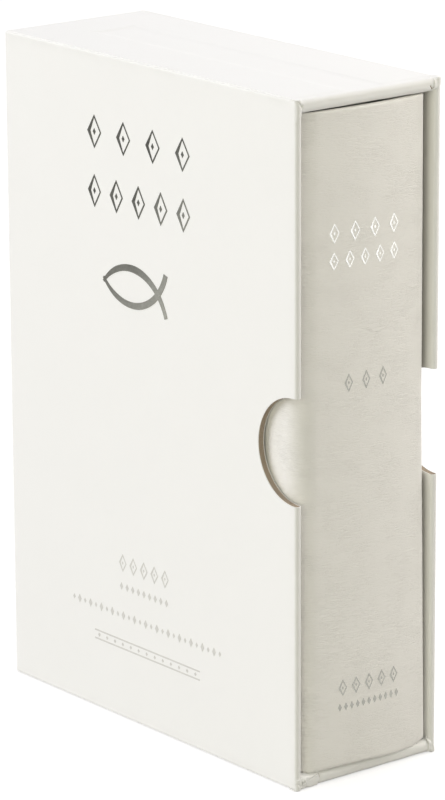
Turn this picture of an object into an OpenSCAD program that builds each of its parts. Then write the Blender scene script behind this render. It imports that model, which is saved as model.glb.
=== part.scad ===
// Compact case-bound bible standing in its board slipcase.
// +X points out of the slipcase's mouth, the way the book slides. -Y is the front wall, +Z is up.
// The origin is at the middle of the slipcase's underside. Lengths are in millimetres.

/* [Page block] */
// Height of the trimmed pages, head to tail
page_h = 133.9; // [100:0.1:180]
// Width of the trimmed pages, spine fold to fore edge
page_w = 90.2; // [60:0.1:130]
// Number of folded and sewn signatures
signature_n = 24; // [12:1:32]
// Thickness of one pressed signature
signature_t = 1.18; // [0.8:0.01:1.6]
// Air left between neighbouring signatures
signature_air = 0.02; // [0.01:0.01:0.05]
// Depth of the shoulder where the folds are backed outwards
backing_d = 3; // [2:0.1:4]

/* [Cover] */
// Overhang of the cover past the page block at head and tail
square_ends = 2.8; // [2:0.1:6]
// Overhang of the cover past the page block at the fore edge
square_fore = 3; // [2:0.1:6]
// Thickness of the cover boards
cover_board_t = 1.8; // [1.2:0.1:2.6]
// Thickness of the imitation leather
leather_t = 0.8; // [0.5:0.05:1]
// Thickness of the turned-in leather, pared and pressed into the board
turn_t = 0.3; // [0.2:0.05:0.4]
// Width of the leather turn-ins
turn_in = 14; // [8:0.5:20]
// Radius of the rounded spine, measured on the leather
spine_r = 100; // [42:0.1:120]
// Radius where the spine rolls over to the covers
shoulder_r = 2.6; // [1.4:0.1:3]
// Width of the raised ridge between the spine's shoulder and the joint
ridge_w = 6; // [2:0.1:8]
// Width of the pressed joint between the ridge and the board
joint_w = 7.2; // [6:0.1:10]
// Air between the leather pressed into the joint and the mull under it
joint_air = 0.05; // [0.02:0.01:0.2]
// Bare leather between the board and the joint
board_ease = 0.4; // [0.2:0.1:2]
// Thickness of the card inlay behind the spine leather
inlay_t = 0.5; // [0.3:0.05:0.6]
// Hollow between the inlay and the lined back of the block
hollow_gap = 0.6; // [0.5:0.05:1.5]

/* [Linings and trim] */
// Thickness of an endpaper leaf
endpaper_t = 0.2; // [0.1:0.05:0.3]
// Air between the pastedown and the free endpaper
leaf_gap = 0.1; // [0.05:0.05:0.2]
// Thickness of the mull that hinges the block to the boards
mull_t = 0.15; // [0.1:0.05:0.2]
// Reach of the mull onto each board
mull_wing = 12; // [6:0.5:20]
// Thickness of the paper lining glued over the mull
back_lining_t = 0.2; // [0.1:0.05:0.3]
// Room for the sewing and the band tapes between the folds and the mull
sewing_t = 0.35; // [0.3:0.05:0.5]
// Number of sewing stations along the back
station_n = 6; // [4:1:8]
// Length of a sewing stitch along the fold
stitch_w = 1; // [0.6:0.1:2]
// Distance of the end stations from the head and the tail
kettle_d = 16; // [12:1:24]
// Radius of the rolled bead on the head and tail bands
bead_r = 0.9; // [0.6:0.1:1.1]
// Depth of the bands' woven tape below the bead
band_d = 9; // [6:0.5:11]
// Width of the ribbon marker
ribbon_w = 6; // [3:0.5:8]
// Thickness of the ribbon marker
ribbon_t = 0.2; // [0.15:0.05:0.3]
// Distance that the tucked ribbon ends above the tail
ribbon_tuck = 18; // [5:1:40]

/* [Slipcase] */
// Thickness of the greyboard in the side walls and the closed end
case_board_t = 1.2; // [1:0.1:2.5]
// Thickness of the greyboard at head and tail
case_end_t = 2.4; // [1:0.1:3]
// Thickness of the covering paper with its glue
case_paper_t = 0.2; // [0.15:0.05:0.3]
// Thickness of the lining paper
case_lining_t = 0.15; // [0.1:0.05:0.3]
// Reach of the covering paper into the mouth
mouth_turn = 12; // [6:0.5:20]
// Width of the side paper's flaps under the end panels
flap_w = 14; // [8:0.5:16]
// Distance that the end panels' paper stops short of the edges
panel_inset = 0.6; // [0.3:0.1:2]
// Radius of the paper over the closed end's upright edges
edge_r = 0.9; // [0.6:0.1:1.4]
// Radius of the paper where it folds over onto the end panels
fold_edge_r = 0.4; // [0.3:0.05:0.6]
// Width of a thumb notch
notch_w = 22.8; // [16:0.2:30]
// Depth of a thumb notch from the mouth
notch_d = 12.3; // [11:0.1:18]
// Height of the thumb notches' middle above the slipcase's middle
notch_up = 0; // [-20:0.5:20]

/* [Fit of the book in the slipcase] */
// Air between each cover and its wall
side_gap = 0.27; // [0.2:0.01:1.5]
// Air under the book
foot_gap = 0.2; // [0.2:0.05:1]
// Air over the book
head_gap = 0.3; // [0.3:0.05:2]
// Air between the fore edge and the closed end
home_gap = 0.3; // [0.2:0.05:2]
// Distance that the spine's crown lies inside the mouth
crown_inset = 0; // [0:0.1:5]

/* [Hidden] */
$fn = 96;

// Sheets, counted outwards from the middle of the block
block_t = signature_n * signature_t + ribbon_t;
board_in = block_t / 2 + 2 * endpaper_t + leaf_gap;
board_out = board_in + cover_board_t;
book_half = board_out + leather_t;
book_h = page_h + 2 * square_ends;
joint_d = cover_board_t - mull_t - joint_air;

// Arcs round the back's one upright axis
inlay_r = spine_r - leather_t;
lining_r = inlay_r - inlay_t - hollow_gap;
mull_r = lining_r - back_lining_t;
sewing_r = mull_r - mull_t;
fold_r = sewing_r - sewing_t;
bend_r = fold_r - backing_d;
leaf_w = page_w - backing_d;
fore_sag_x = sqrt(bend_r * bend_r - block_t * block_t / 4);
book_w = spine_r + leaf_w - fore_sag_x + square_fore;

// Slipcase, measured from the outside inwards
inner_skin_t = max(case_paper_t, case_lining_t);
wall_t = case_paper_t + case_board_t + inner_skin_t;
end_wall_t = 2 * case_paper_t + case_end_t + inner_skin_t;
case_t = 2 * (book_half + side_gap + wall_t);
case_h = book_h + foot_gap + head_gap + 2 * end_wall_t;
case_w = crown_inset + book_w + home_gap + wall_t;
mouth_x = case_w / 2;
back_x = -case_w / 2;
room_y = case_t / 2 - wall_t;
roll_r = case_board_t / 2 + case_paper_t;
roll_x = mouth_x - roll_r;
turn_x = roll_x - mouth_turn;
panel_r = case_end_t / 2 + case_paper_t;
panel_roll_x = mouth_x - panel_r;
notch_r = notch_w / 2;
notch_z = case_h / 2 + notch_up;

// Book, from the crown of the spine to the fore edge
axis_x = mouth_x - crown_inset - spine_r;
fore_x = axis_x + spine_r - book_w;
foot_z = end_wall_t + foot_gap;
tail_z = foot_z + square_ends;
head_z = tail_z + page_h;
shoulder_x = axis_x + sqrt(pow(spine_r - shoulder_r, 2) - pow(book_half - shoulder_r, 2));
shoulder_a = atan2(book_half - shoulder_r, shoulder_x - axis_x);
joint_x1 = shoulder_x - ridge_w;
joint_x0 = joint_x1 - joint_w;
joint_r = (joint_w * joint_w / 4 + joint_d * joint_d) / (2 * joint_d);
board_x0 = fore_x + leather_t;
board_x1 = joint_x0 - board_ease;
board_z0 = foot_z + leather_t;
board_h = book_h - 2 * leather_t;

// Folds, bands and ribbon
last_y = (block_t - signature_t) / 2;
last_a = asin(last_y / bend_r);
hinge_x = axis_x + bend_r * cos(last_a) - endpaper_t;
bead_c = fold_r + sewing_t / 2 - 0.6 * bead_r;
mull_off = signature_t / 2 + 2 * joint_air;
mull_bend = (board_in + mull_t - (mull_off + mull_t) * cos(last_a)) / sin(last_a);
ribbon_y = (ceil(signature_n / 2) - signature_n / 2) * signature_t;
ribbon_x = axis_x + bend_r - ribbon_w - 1;
ribbon_root = 25;
fold_steps = 8;
// A hair of overlap or air where two shapes meet, and a length that reaches past everything
cut = 0.01;
far = 4 * (case_h + case_w);

function signature_y(i) = (i - (signature_n - 1) / 2) * signature_t
    + (i < signature_n / 2 ? -1 : 1) * ribbon_t / 2;

function dir(a) = [cos(a), sin(a)];

// Children extruded upwards from z0 by h
module rise(z0, h) {
    translate([0, 0, z0]) linear_extrude(h) children();
}

// A rectangle given by its two corners
module span(x0, x1, y0, y1) {
    translate([x0, y0]) square([x1 - x0, y1 - y0]);
}

// Children and their mirror image on the other side of the middle
module both_sides() {
    children();
    mirror([0, 1, 0]) children();
}

// Both ends of the slipcase, which are alike
module at_head() {
    translate([0, 0, case_h]) mirror([0, 0, 1]) children();
}

// ---- Slipcase ----

// One side wall's section, d inside its papered surface, with its rolled mouth edge
module wall_section(d, from_x) {
    r = roll_r - d;
    y = roll_r - case_t / 2;
    span(from_x, roll_x, y - r, y + r);
    translate([roll_x, y]) circle(r);
}

// The slipcase's plan, d inside the paper, square at the mouth and rounded at the closed end
module plan(d, r) {
    x0 = back_x + d;
    y1 = case_t / 2 - d;
    span(x0 + r, roll_x, -y1, y1);
    span(x0, x0 + r + cut, r - y1, y1 - r);
    both_sides() translate([x0 + r, r - y1]) circle(r);
}

// Everything that the paper covers in plan: the closed box and the two rolled mouth edges
module papered_plan() {
    plan(0, edge_r);
    both_sides() wall_section(0, 0);
}

// Section of the walls at right angles to the mouth, which rounds the folds at head and tail
module folded_block() {
    y1 = case_t / 2;
    z0 = case_paper_t;
    z1 = case_h - case_paper_t;
    r = fold_edge_r;
    rotate([90, 0, 90]) translate([0, 0, back_x - 1]) linear_extrude(case_w + 2) {
        span(r - y1, y1 - r, z0, z1);
        span(-y1, y1, z0 + r, z1 - r);
        for (y = [r - y1, y1 - r], z = [z0 + r, z1 - r]) translate([y, z]) circle(r);
    }
}

// The half-round that a thumb goes into, through both walls
module thumb_notch() {
    translate([mouth_x - notch_d + notch_r, 0, notch_z]) {
        rotate([90, 0, 0]) cylinder(r = notch_r, h = 2 * case_t, center = true);
        translate([0, -case_t, -notch_r]) cube([notch_w, 2 * case_t, notch_w]);
    }
}

module case_side_board() {
    color([0.55, 0.46, 0.37]) difference() {
        rise(2 * case_paper_t, case_h - 4 * case_paper_t) intersection() {
            wall_section(case_paper_t, back_x + case_paper_t);
            union() {
                plan(case_paper_t, edge_r - case_paper_t);
                span(0, mouth_x, -case_t, 0);
            }
        }
        thumb_notch();
    }
}

module case_end_board() {
    x0 = back_x + case_paper_t;
    y1 = case_t / 2 - case_paper_t - case_board_t;
    color([0.55, 0.46, 0.37]) rise(2 * case_paper_t, case_h - 4 * case_paper_t)
        span(x0, x0 + case_board_t, -y1, y1);
}

// A board between the walls, with the mouth edge rolled like theirs
module case_panel_board() {
    z0 = 2 * case_paper_t;
    r = case_end_t / 2;
    color([0.55, 0.46, 0.37]) rotate([90, 0, 0]) linear_extrude(2 * room_y, center = true) {
        span(back_x + case_paper_t + case_board_t + case_lining_t, panel_roll_x, z0, z0 + case_end_t);
        translate([panel_roll_x, z0 + r]) circle(r);
    }
}

// Side flaps of the covering paper, turned over the ends of the box
module flaps() {
    difference() {
        papered_plan();
        span(back_x + flap_w, mouth_x + 1, flap_w - case_t / 2, case_t / 2 - flap_w);
        span(panel_roll_x, mouth_x + 1, -room_y, room_y);
    }
}

module case_side_paper() {
    inside_y = case_t / 2 - case_paper_t - case_board_t;
    color([0.95, 0.95, 0.94]) difference() {
        intersection() {
            union() {
                rise(2 * case_paper_t, case_h - 4 * case_paper_t) difference() {
                    papered_plan();
                    both_sides() intersection() {
                        wall_section(case_paper_t, back_x + case_paper_t);
                        union() {
                            plan(case_paper_t, edge_r - case_paper_t);
                            span(0, mouth_x, -case_t, 0);
                        }
                    }
                    span(back_x + case_paper_t, turn_x, -inside_y, inside_y);
                    span(turn_x - cut, mouth_x + 1, case_paper_t - inside_y, inside_y - case_paper_t);
                }
                rise(case_paper_t, case_paper_t) flaps();
                rise(case_h - 2 * case_paper_t, case_paper_t) flaps();
            }
            folded_block();
        }
        thumb_notch();
    }
}

// Paper over an end panel: it laps the side flaps, dips between them and rolls into the mouth
module case_panel_paper() {
    p = case_paper_t;
    field_y = case_t / 2 - flap_w;
    field_x = back_x + flap_w;
    roll_z = 2 * p + case_end_t / 2;
    color([0.97, 0.97, 0.96]) {
        rise(0, p) difference() {
            span(back_x + panel_inset, roll_x, panel_inset - case_t / 2, case_t / 2 - panel_inset);
            span(field_x + p, mouth_x, p - field_y, field_y - p);
            span(panel_roll_x, mouth_x, -room_y, room_y);
        }
        rise(p - cut, p + cut) span(field_x, panel_roll_x + cut, -field_y, field_y);
        both_sides() rise(0, p + cut) span(panel_roll_x, panel_roll_x + 5 * cut, -room_y, p - field_y);
        rotate([90, 0, 0]) linear_extrude(2 * room_y, center = true) {
            difference() {
                translate([panel_roll_x, roll_z]) circle(panel_r);
                translate([panel_roll_x, roll_z]) circle(case_end_t / 2);
                span(turn_x, panel_roll_x, 0, far);
            }
            span(turn_x, panel_roll_x + cut, roll_z + case_end_t / 2, roll_z + panel_r);
        }
    }
}

module case_side_lining() {
    x0 = back_x + case_paper_t + case_board_t;
    y1 = case_t / 2 - case_paper_t - case_board_t;
    color([0.93, 0.92, 0.89]) difference() {
        rise(2 * case_paper_t, case_h - 4 * case_paper_t) difference() {
            span(x0, turn_x, -y1, y1);
            span(x0 + case_lining_t, turn_x + 1, case_lining_t - y1, y1 - case_lining_t);
        }
        thumb_notch();
    }
}

module case_panel_lining() {
    z0 = 2 * case_paper_t + case_end_t;
    color([0.93, 0.92, 0.89]) rise(z0, case_lining_t)
        span(back_x + case_paper_t + case_board_t + case_lining_t, turn_x, -room_y, room_y);
}

// ---- Book cover ----

// A sector about the spine's axis, a degrees to each side
module sector(a) {
    polygon([[axis_x, 0], [axis_x + far, far * tan(a)], [axis_x + far, -far * tan(a)]]);
}

// The cover's closed plan, d inside the leather: flat boards, rolled shoulders and round spine
module cover_plan(d, from_x) {
    y1 = book_half - d;
    r = shoulder_r - d;
    difference() {
        union() {
            span(from_x, shoulder_x, -y1, y1);
            both_sides() translate([shoulder_x, shoulder_r - book_half]) circle(r);
            intersection() {
                translate([axis_x, 0]) circle(spine_r - d, $fn = 360);
                sector(shoulder_a);
            }
        }
        both_sides() translate([(joint_x0 + joint_x1) / 2, -book_half + joint_d - joint_r])
            circle(joint_r + d);
    }
}

// Part of a ring about the spine's axis
module back_band(r0, r1, a) {
    intersection() {
        translate([axis_x, 0]) difference() {
            circle(r1, $fn = 360);
            circle(r0, $fn = 360);
        }
        sector(a);
    }
}

// A cover board, with shallow rebates where the leather turns in and the mull is glued
module cover_board() {
    w = board_x1 - board_x0;
    difference() {
        translate([board_x0, -board_out, board_z0]) cube([w, cover_board_t, board_h]);
        translate([board_x0 - 1, -board_in - turn_t, board_z0 - 1])
            cube([turn_in + 1, far, board_h + 2]);
        for (z = [board_z0 - 1, board_z0 + board_h - turn_in])
            translate([board_x0 - 1, -board_in - turn_t, z]) cube([far, far, turn_in + 1]);
        translate([board_x1 - mull_wing, -board_in - mull_t, board_z0 - 1])
            cube([far, far, board_h + 2]);
    }
}

module front_cover_board() {
    color([0.6, 0.52, 0.43]) cover_board();
}

module back_cover_board() {
    color([0.6, 0.52, 0.43]) mirror([0, 1, 0]) cover_board();
}

module spine_inlay() {
    color([0.8, 0.78, 0.72]) rise(board_z0, board_h)
        back_band(inlay_r - inlay_t, inlay_r, shoulder_a);
}

// The leather: skin over boards and spine, turned in round every edge
module cover_leather() {
    color([0.89, 0.87, 0.81]) {
        // skin over the joints and the spine
        rise(foot_z, book_h) difference() {
            cover_plan(0, board_x1);
            cover_plan(leather_t, board_x1 - 1);
        }
        // fold over the inlay at head and tail, pressed flat behind it
        for (z = [foot_z, foot_z + book_h - leather_t]) rise(z, leather_t)
            back_band(inlay_r - inlay_t - turn_t, inlay_r + cut, shoulder_a);
        for (z = [foot_z, foot_z + book_h - turn_in]) rise(z, turn_in)
            back_band(inlay_r - inlay_t - turn_t, inlay_r - inlay_t, shoulder_a);
        // each board in its wrapping
        both_sides() difference() {
            translate([fore_x, -book_half, foot_z])
                cube([board_x1 - fore_x + cut, leather_t + cover_board_t, book_h]);
            cover_board();
            translate([board_x0 + turn_in, -board_in - turn_t - cut, board_z0 + turn_in])
                cube([far, far, board_h - 2 * turn_in]);
            translate([board_x1 - mull_wing, -board_in - mull_t, foot_z - 1])
                cube([far, far, book_h + 2]);
        }
    }
}

// ---- Sewn block ----

// One signature's plan: straight leaves, bent outwards over the shoulder to a round fold,
// with the fore edge hollowed as much as the back is rounded
module signature_plan(i) {
    y = signature_y(i);
    a = asin(y / bend_r);
    t = (signature_t - signature_air) / 2;
    bend = [axis_x + bend_r * cos(a), y];
    fold = [axis_x + (fold_r - t) * cos(a), (fold_r - t) * sin(a)];
    mitre = t / cos(a / 2) * [-sin(a / 2), cos(a / 2)];
    difference() {
        polygon(concat(
            [[axis_x - leaf_w, y + t], [axis_x - leaf_w, y - t], bend - mitre],
            [for (k = [0:fold_steps]) fold + t * dir(a - 90 + 180 * k / fold_steps)],
            [bend + mitre]
        ));
        translate([axis_x - leaf_w, 0]) circle(bend_r, $fn = 360);
    }
}

module signatures() {
    color([0.94, 0.92, 0.86]) for (i = [0:signature_n - 1]) rise(tail_z, page_h) signature_plan(i);
}

// Stitches that cross the folds at each sewing station
module sewing_thread() {
    pitch = (page_h - 2 * kettle_d) / max(1, station_n - 1);
    color([0.92, 0.9, 0.84]) for (k = [0:station_n - 1])
        rise(tail_z + kettle_d + k * pitch - stitch_w / 2, stitch_w)
            back_band(fold_r + cut, sewing_r - cut, last_a);
}

// The gauze hinge: round the back, over the shoulders and onto the boards
module mull() {
    color([0.85, 0.83, 0.76]) rise(board_z0 + turn_in, board_h - 2 * turn_in) {
        back_band(sewing_r, mull_r, last_a + atan2(mull_off + mull_t, sewing_r));
        both_sides() {
            translate([axis_x, 0]) rotate(-last_a)
                span(mull_bend - mull_t, mull_r - cut, -mull_off - mull_t, -mull_off);
            span(board_x1 - mull_wing, axis_x + mull_bend * cos(last_a), -board_in - mull_t, -board_in);
        }
    }
}

module back_lining() {
    color([0.72, 0.6, 0.45]) rise(tail_z, page_h) back_band(mull_r, lining_r, last_a);
}

// A woven band: a rolled bead on the ends of the folds, over a tape glued to the back
module end_band() {
    color([0.93, 0.92, 0.88]) translate([axis_x, 0, 0]) rotate(-last_a)
        rotate_extrude(angle = 2 * last_a, $fn = 360) {
            translate([bead_c, bead_r]) circle(bead_r, $fn = 32);
            span(fold_r + cut, sewing_r - cut, -band_d, bead_r);
        }
}

module headband() {
    translate([0, 0, head_z]) end_band();
}

module tailband() {
    translate([0, 0, tail_z]) mirror([0, 0, 1]) end_band();
}

// A folded sheet: pastedown on the board, free leaf on the block
module endpaper() {
    x0 = axis_x - leaf_w + fore_sag_x;
    r = endpaper_t + leaf_gap / 2;
    color([0.96, 0.95, 0.92]) rise(tail_z, page_h) difference() {
        union() {
            span(x0, hinge_x - r, -board_in, -block_t / 2);
            translate([hinge_x - r, -board_in + r]) circle(r);
        }
        span(x0 - 1, hinge_x - r, endpaper_t - board_in, -endpaper_t - block_t / 2);
    }
}

module front_endpaper() {
    endpaper();
}

module back_endpaper() {
    mirror([0, 1, 0]) endpaper();
}

// The ribbon: glued to the back, over the headband, then down between the middle leaves
module ribbon_marker() {
    top_z = head_z + 2 * bead_r + 0.1;
    back_r = lining_r + ribbon_t;
    half_a = ribbon_w / 2 / back_r * 180 / PI;
    color([0.8, 0.8, 0.78]) {
        rise(head_z - ribbon_root, top_z + ribbon_t - head_z + ribbon_root)
            back_band(lining_r + cut, back_r, half_a);
        translate([ribbon_x + ribbon_w, -ribbon_w / 2, top_z])
            cube([axis_x + lining_r + ribbon_t / 2 - ribbon_x - ribbon_w, ribbon_w, ribbon_t]);
        hull() {
            translate([ribbon_x + ribbon_w - cut, -ribbon_w / 2, top_z]) cube([0.2, ribbon_w, ribbon_t]);
            translate([ribbon_x, ribbon_y - ribbon_t / 2, head_z]) cube([ribbon_w, ribbon_t, 0.2]);
        }
        translate([0, ribbon_y + ribbon_t / 2, 0]) rotate([90, 0, 0]) linear_extrude(ribbon_t) polygon([
            [ribbon_x, head_z + cut], [ribbon_x + ribbon_w, head_z + cut],
            [ribbon_x - ribbon_w, tail_z + ribbon_tuck], [ribbon_x - 2 * ribbon_w, tail_z + ribbon_tuck]
        ]);
    }
}

case_side_board();  // case_front_board
mirror([0, 1, 0]) case_side_board();  // case_back_board
at_head() case_panel_board();  // case_top_board
case_panel_board();  // case_bottom_board
case_end_board();
case_side_paper();
at_head() case_panel_paper();  // case_top_paper
case_panel_paper();  // case_bottom_paper
case_side_lining();
at_head() case_panel_lining();  // case_top_lining
case_panel_lining();  // case_bottom_lining
front_cover_board();
back_cover_board();
spine_inlay();
cover_leather();
signatures();
sewing_thread();
mull();
back_lining();
headband();
tailband();
front_endpaper();
back_endpaper();
ribbon_marker();
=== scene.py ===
import math
from contextlib import contextmanager

import bmesh
import bpy
import numpy as np
from mathutils import Matrix, Vector, noise


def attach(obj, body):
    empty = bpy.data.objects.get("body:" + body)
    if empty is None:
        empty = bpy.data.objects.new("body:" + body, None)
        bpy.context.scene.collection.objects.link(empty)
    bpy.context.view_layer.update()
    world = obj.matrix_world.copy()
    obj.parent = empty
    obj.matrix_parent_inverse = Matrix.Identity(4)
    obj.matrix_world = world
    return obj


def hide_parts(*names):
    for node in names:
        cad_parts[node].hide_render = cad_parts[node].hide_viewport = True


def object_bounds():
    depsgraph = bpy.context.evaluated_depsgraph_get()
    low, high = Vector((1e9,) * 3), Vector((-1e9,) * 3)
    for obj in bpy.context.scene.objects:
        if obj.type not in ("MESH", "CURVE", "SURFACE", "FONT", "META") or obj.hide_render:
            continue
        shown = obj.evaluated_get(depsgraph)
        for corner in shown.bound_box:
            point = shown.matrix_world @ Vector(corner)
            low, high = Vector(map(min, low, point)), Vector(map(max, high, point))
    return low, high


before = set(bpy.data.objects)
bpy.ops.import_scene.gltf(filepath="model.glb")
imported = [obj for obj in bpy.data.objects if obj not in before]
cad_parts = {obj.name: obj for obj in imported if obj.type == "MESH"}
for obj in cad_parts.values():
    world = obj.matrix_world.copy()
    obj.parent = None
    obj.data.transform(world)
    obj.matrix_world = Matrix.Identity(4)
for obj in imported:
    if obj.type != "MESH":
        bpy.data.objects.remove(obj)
cad_box = [list(corner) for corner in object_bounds()]
scene = bpy.context.scene
MM = 0.001

# ---- Camera ----
# A long lens just under a metre off, a little above the case, turned so that its front wall and its
# mouth both show. Its aim is given in millimetres along its own right, up and back.
SENSOR = 36.0
FOCAL_PIXELS = 4252.05
FRAME_HIGH = 800
AIM_RIGHT, AIM_UP, STANDS_OFF = 0.6474, 67.7882, 929.867
azimuth, elevation, roll = (math.radians(a) for a in (51.2987, 15.6013, -0.2582))
back = Vector((math.sin(azimuth) * math.cos(elevation), -math.cos(azimuth) * math.cos(elevation),
               math.sin(elevation)))
level_right = Vector((math.cos(azimuth), math.sin(azimuth), 0.0))
level_up = back.cross(level_right)
right = level_right * math.cos(roll) + level_up * math.sin(roll)
up = level_up * math.cos(roll) - level_right * math.sin(roll)
camera = bpy.data.objects.new("camera", bpy.data.cameras.new("camera"))
scene.collection.objects.link(camera)
camera.data.lens = FOCAL_PIXELS / FRAME_HIGH * SENSOR
camera.data.sensor_width = SENSOR
camera.data.clip_start = 0.05
stand = (right * AIM_RIGHT + up * AIM_UP + back * STANDS_OFF) * MM
camera.matrix_world = Matrix.Translation(stand) @ Matrix((right, up, back)).transposed().to_4x4()
scene.camera = camera

# ---- Studio ----
# A pale paper sweep under the set, an even sky, a soft key low on the front, a broad lamp over the
# top, two weak warm fills on the mouth's near corner, a warm light close beyond the spine and a
# weak one behind the case.


def node_in(tree, kind, sockets=None, **settings):
    """A node in tree, with its settings and its sockets' values or links."""
    node = tree.nodes.new(kind)
    for key, value in settings.items():
        setattr(node, key, value)
    for key, value in (sockets or {}).items():
        if isinstance(value, bpy.types.NodeSocket):
            tree.links.new(value, node.inputs[key])
        else:
            node.inputs[key].default_value = value
    return node


def put(tree, kind, sockets=None, **settings):
    """A shader node in tree, its kind given without the prefix."""
    return node_in(tree, "ShaderNode" + kind, sockets, **settings)


def seen_directly(tree):
    """1 on rays from the camera, a reflection or a pane, 0 on light's own bounces."""
    path = put(tree, "LightPath")
    either = put(tree, "Math", {0: path.outputs["Is Camera Ray"], 1: path.outputs["Is Glossy Ray"]},
                 operation="MAXIMUM")
    return put(tree, "Math", {0: either.outputs[0], 1: path.outputs["Is Transmission Ray"]},
               operation="MAXIMUM").outputs[0]


def bare_material(name):
    """A material and its empty node tree."""
    material = bpy.data.materials.new(name)
    material.use_nodes = True
    material.node_tree.nodes.clear()
    return material, material.node_tree


world = bpy.data.worlds.new("studio")
world.use_nodes = True
sky = world.node_tree
sky.nodes.clear()
SKY_LEVEL = 0.37
FLOOR_GLOW = 0.67
FLOOR_HALF = 3.0
FLOOR_Z = -0.00002
sky_strength = put(sky, "MapRange", {"Value": seen_directly(sky), "To Min": SKY_LEVEL, "To Max": 1.0})
sky_light = put(sky, "Background", {"Color": (1, 1, 1, 1), "Strength": sky_strength.outputs[0]})
put(sky, "OutputWorld", {"Surface": sky_light.outputs[0]})
scene.world = world

sweep_paper, tree = bare_material("sweep_paper")
glow_strength = put(tree, "Math", {0: seen_directly(tree), 1: FLOOR_GLOW}, operation="MULTIPLY")
glow = put(tree, "Emission", {"Color": (1, 1, 1, 1), "Strength": glow_strength.outputs[0]})
bounce = put(tree, "BsdfDiffuse", {"Color": (0.44, 0.437, 0.43, 1)})
both = put(tree, "AddShader", {0: glow.outputs[0], 1: bounce.outputs[0]})
put(tree, "OutputMaterial", {"Surface": both.outputs[0]})
floor_mesh = bpy.data.meshes.new("floor")
floor_corners = [(x * FLOOR_HALF, y * FLOOR_HALF, FLOOR_Z) for x, y in ((-1, -1), (1, -1), (1, 1), (-1, 1))]
floor_mesh.from_pydata(floor_corners, [], [(0, 1, 2, 3)])
floor = bpy.data.objects.new("floor", floor_mesh)
floor_mesh.materials.append(sweep_paper)
scene.collection.objects.link(floor)


LAMPS_AIM = Vector((0, 0, 0.07))


def softbox(name, direction, distance, size, level, colour):
    """A square lamp aimed at the set that lights a white card facing it to level."""
    lamp = bpy.data.lights.new(name, "AREA")
    lamp.shape = "SQUARE"
    lamp.size = size
    lamp.energy = level * math.pi ** 2 * distance ** 2
    lamp.color = colour
    holder = bpy.data.objects.new(name, lamp)
    scene.collection.objects.link(holder)
    aim = Vector(direction).normalized()
    turn = aim.to_track_quat("Z", "Y").to_matrix().to_4x4()
    holder.matrix_world = Matrix.Translation(aim * distance + LAMPS_AIM) @ turn


softbox("key", (-0.62, -0.74, 0.28), 3.0, 1.9, 0.635, (0.945, 0.94, 1.0))
softbox("top", (-0.10, -0.05, 1.0), 1.6, 1.2, 0.28, (0.94, 0.93, 1.0))
softbox("corner_fill", (0.75, -0.62, 0.25), 2.0, 1.4, 0.10, (1.0, 0.975, 0.63))
softbox("front_fill", (0.40, -0.88, 0.22), 2.0, 0.9, 0.135, (1.0, 0.975, 0.66))
softbox("spine_fill", (0.50, 0.80, 0.46), 0.42, 0.26, 0.51, (1.0, 0.945, 0.87))
softbox("back_fill", (-0.25, 0.90, 0.40), 1.6, 1.0, 0.22, (1.0, 0.99, 0.97))

# ---- Boards of the slipcase ----
# Grey-brown mill board of pressed waste paper: 1.2 mm at the sides and the closed end, 2.4 mm at
# head and tail. The thumb notches are punched through it, so its plies show as a raw edge.


def new_group(name, inputs, outputs):
    """An empty shader group, with its inputs' default values and its outputs' types."""
    group = bpy.data.node_groups.new(name, "ShaderNodeTree")
    for label, value in inputs.items():
        kind = "NodeSocketVector" if isinstance(value, tuple) else "NodeSocketFloat"
        group.interface.new_socket(name=label, in_out="INPUT", socket_type=kind).default_value = value
    for label in outputs:
        group.interface.new_socket(name=label, in_out="OUTPUT", socket_type="NodeSocketFloat")
    return group, group.nodes.new("NodeGroupInput"), group.nodes.new("NodeGroupOutput")


def placed(tree, group, sockets):
    """The group's node in a material's tree."""
    return put(tree, "Group", sockets, node_tree=group)


def calc(tree, operation, a, b=0.0, c=0.0):
    """The result of one Math node on sockets or numbers."""
    return put(tree, "Math", {0: a, 1: b, 2: c}, operation=operation).outputs[0]


def tint(tree, factor, low, high):
    """A colour between low and high by factor."""
    low, high = ((*ends, 1.0) if isinstance(ends, tuple) else ends for ends in (low, high))
    return put(tree, "Mix", {0: factor, 6: low, 7: high}, data_type="RGBA").outputs[2]


def object_vector(tree, scale=(1, 1, 1)):
    """Object coordinates in millimetres, stretched by scale."""
    where = put(tree, "TexCoord").outputs["Object"]
    return put(tree, "Mapping", {"Vector": where, "Scale": tuple(s / MM for s in scale)}).outputs[0]


def finish(tree, colour, roughness, height=None, depth=0.00002, **sockets):
    """The Principled surface of a material, with its height as a bump depth metres deep."""
    values = {"Base Color": colour, "Roughness": roughness}
    values.update({key.replace("_", " "): value for key, value in sockets.items()})
    if height is not None:
        bump = put(tree, "Bump", {"Height": height, "Strength": 1.0, "Distance": depth})
        values["Normal"] = bump.outputs[0]
    surface = put(tree, "BsdfPrincipled", values)
    put(tree, "OutputMaterial", {"Surface": surface.outputs[0]})


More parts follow.
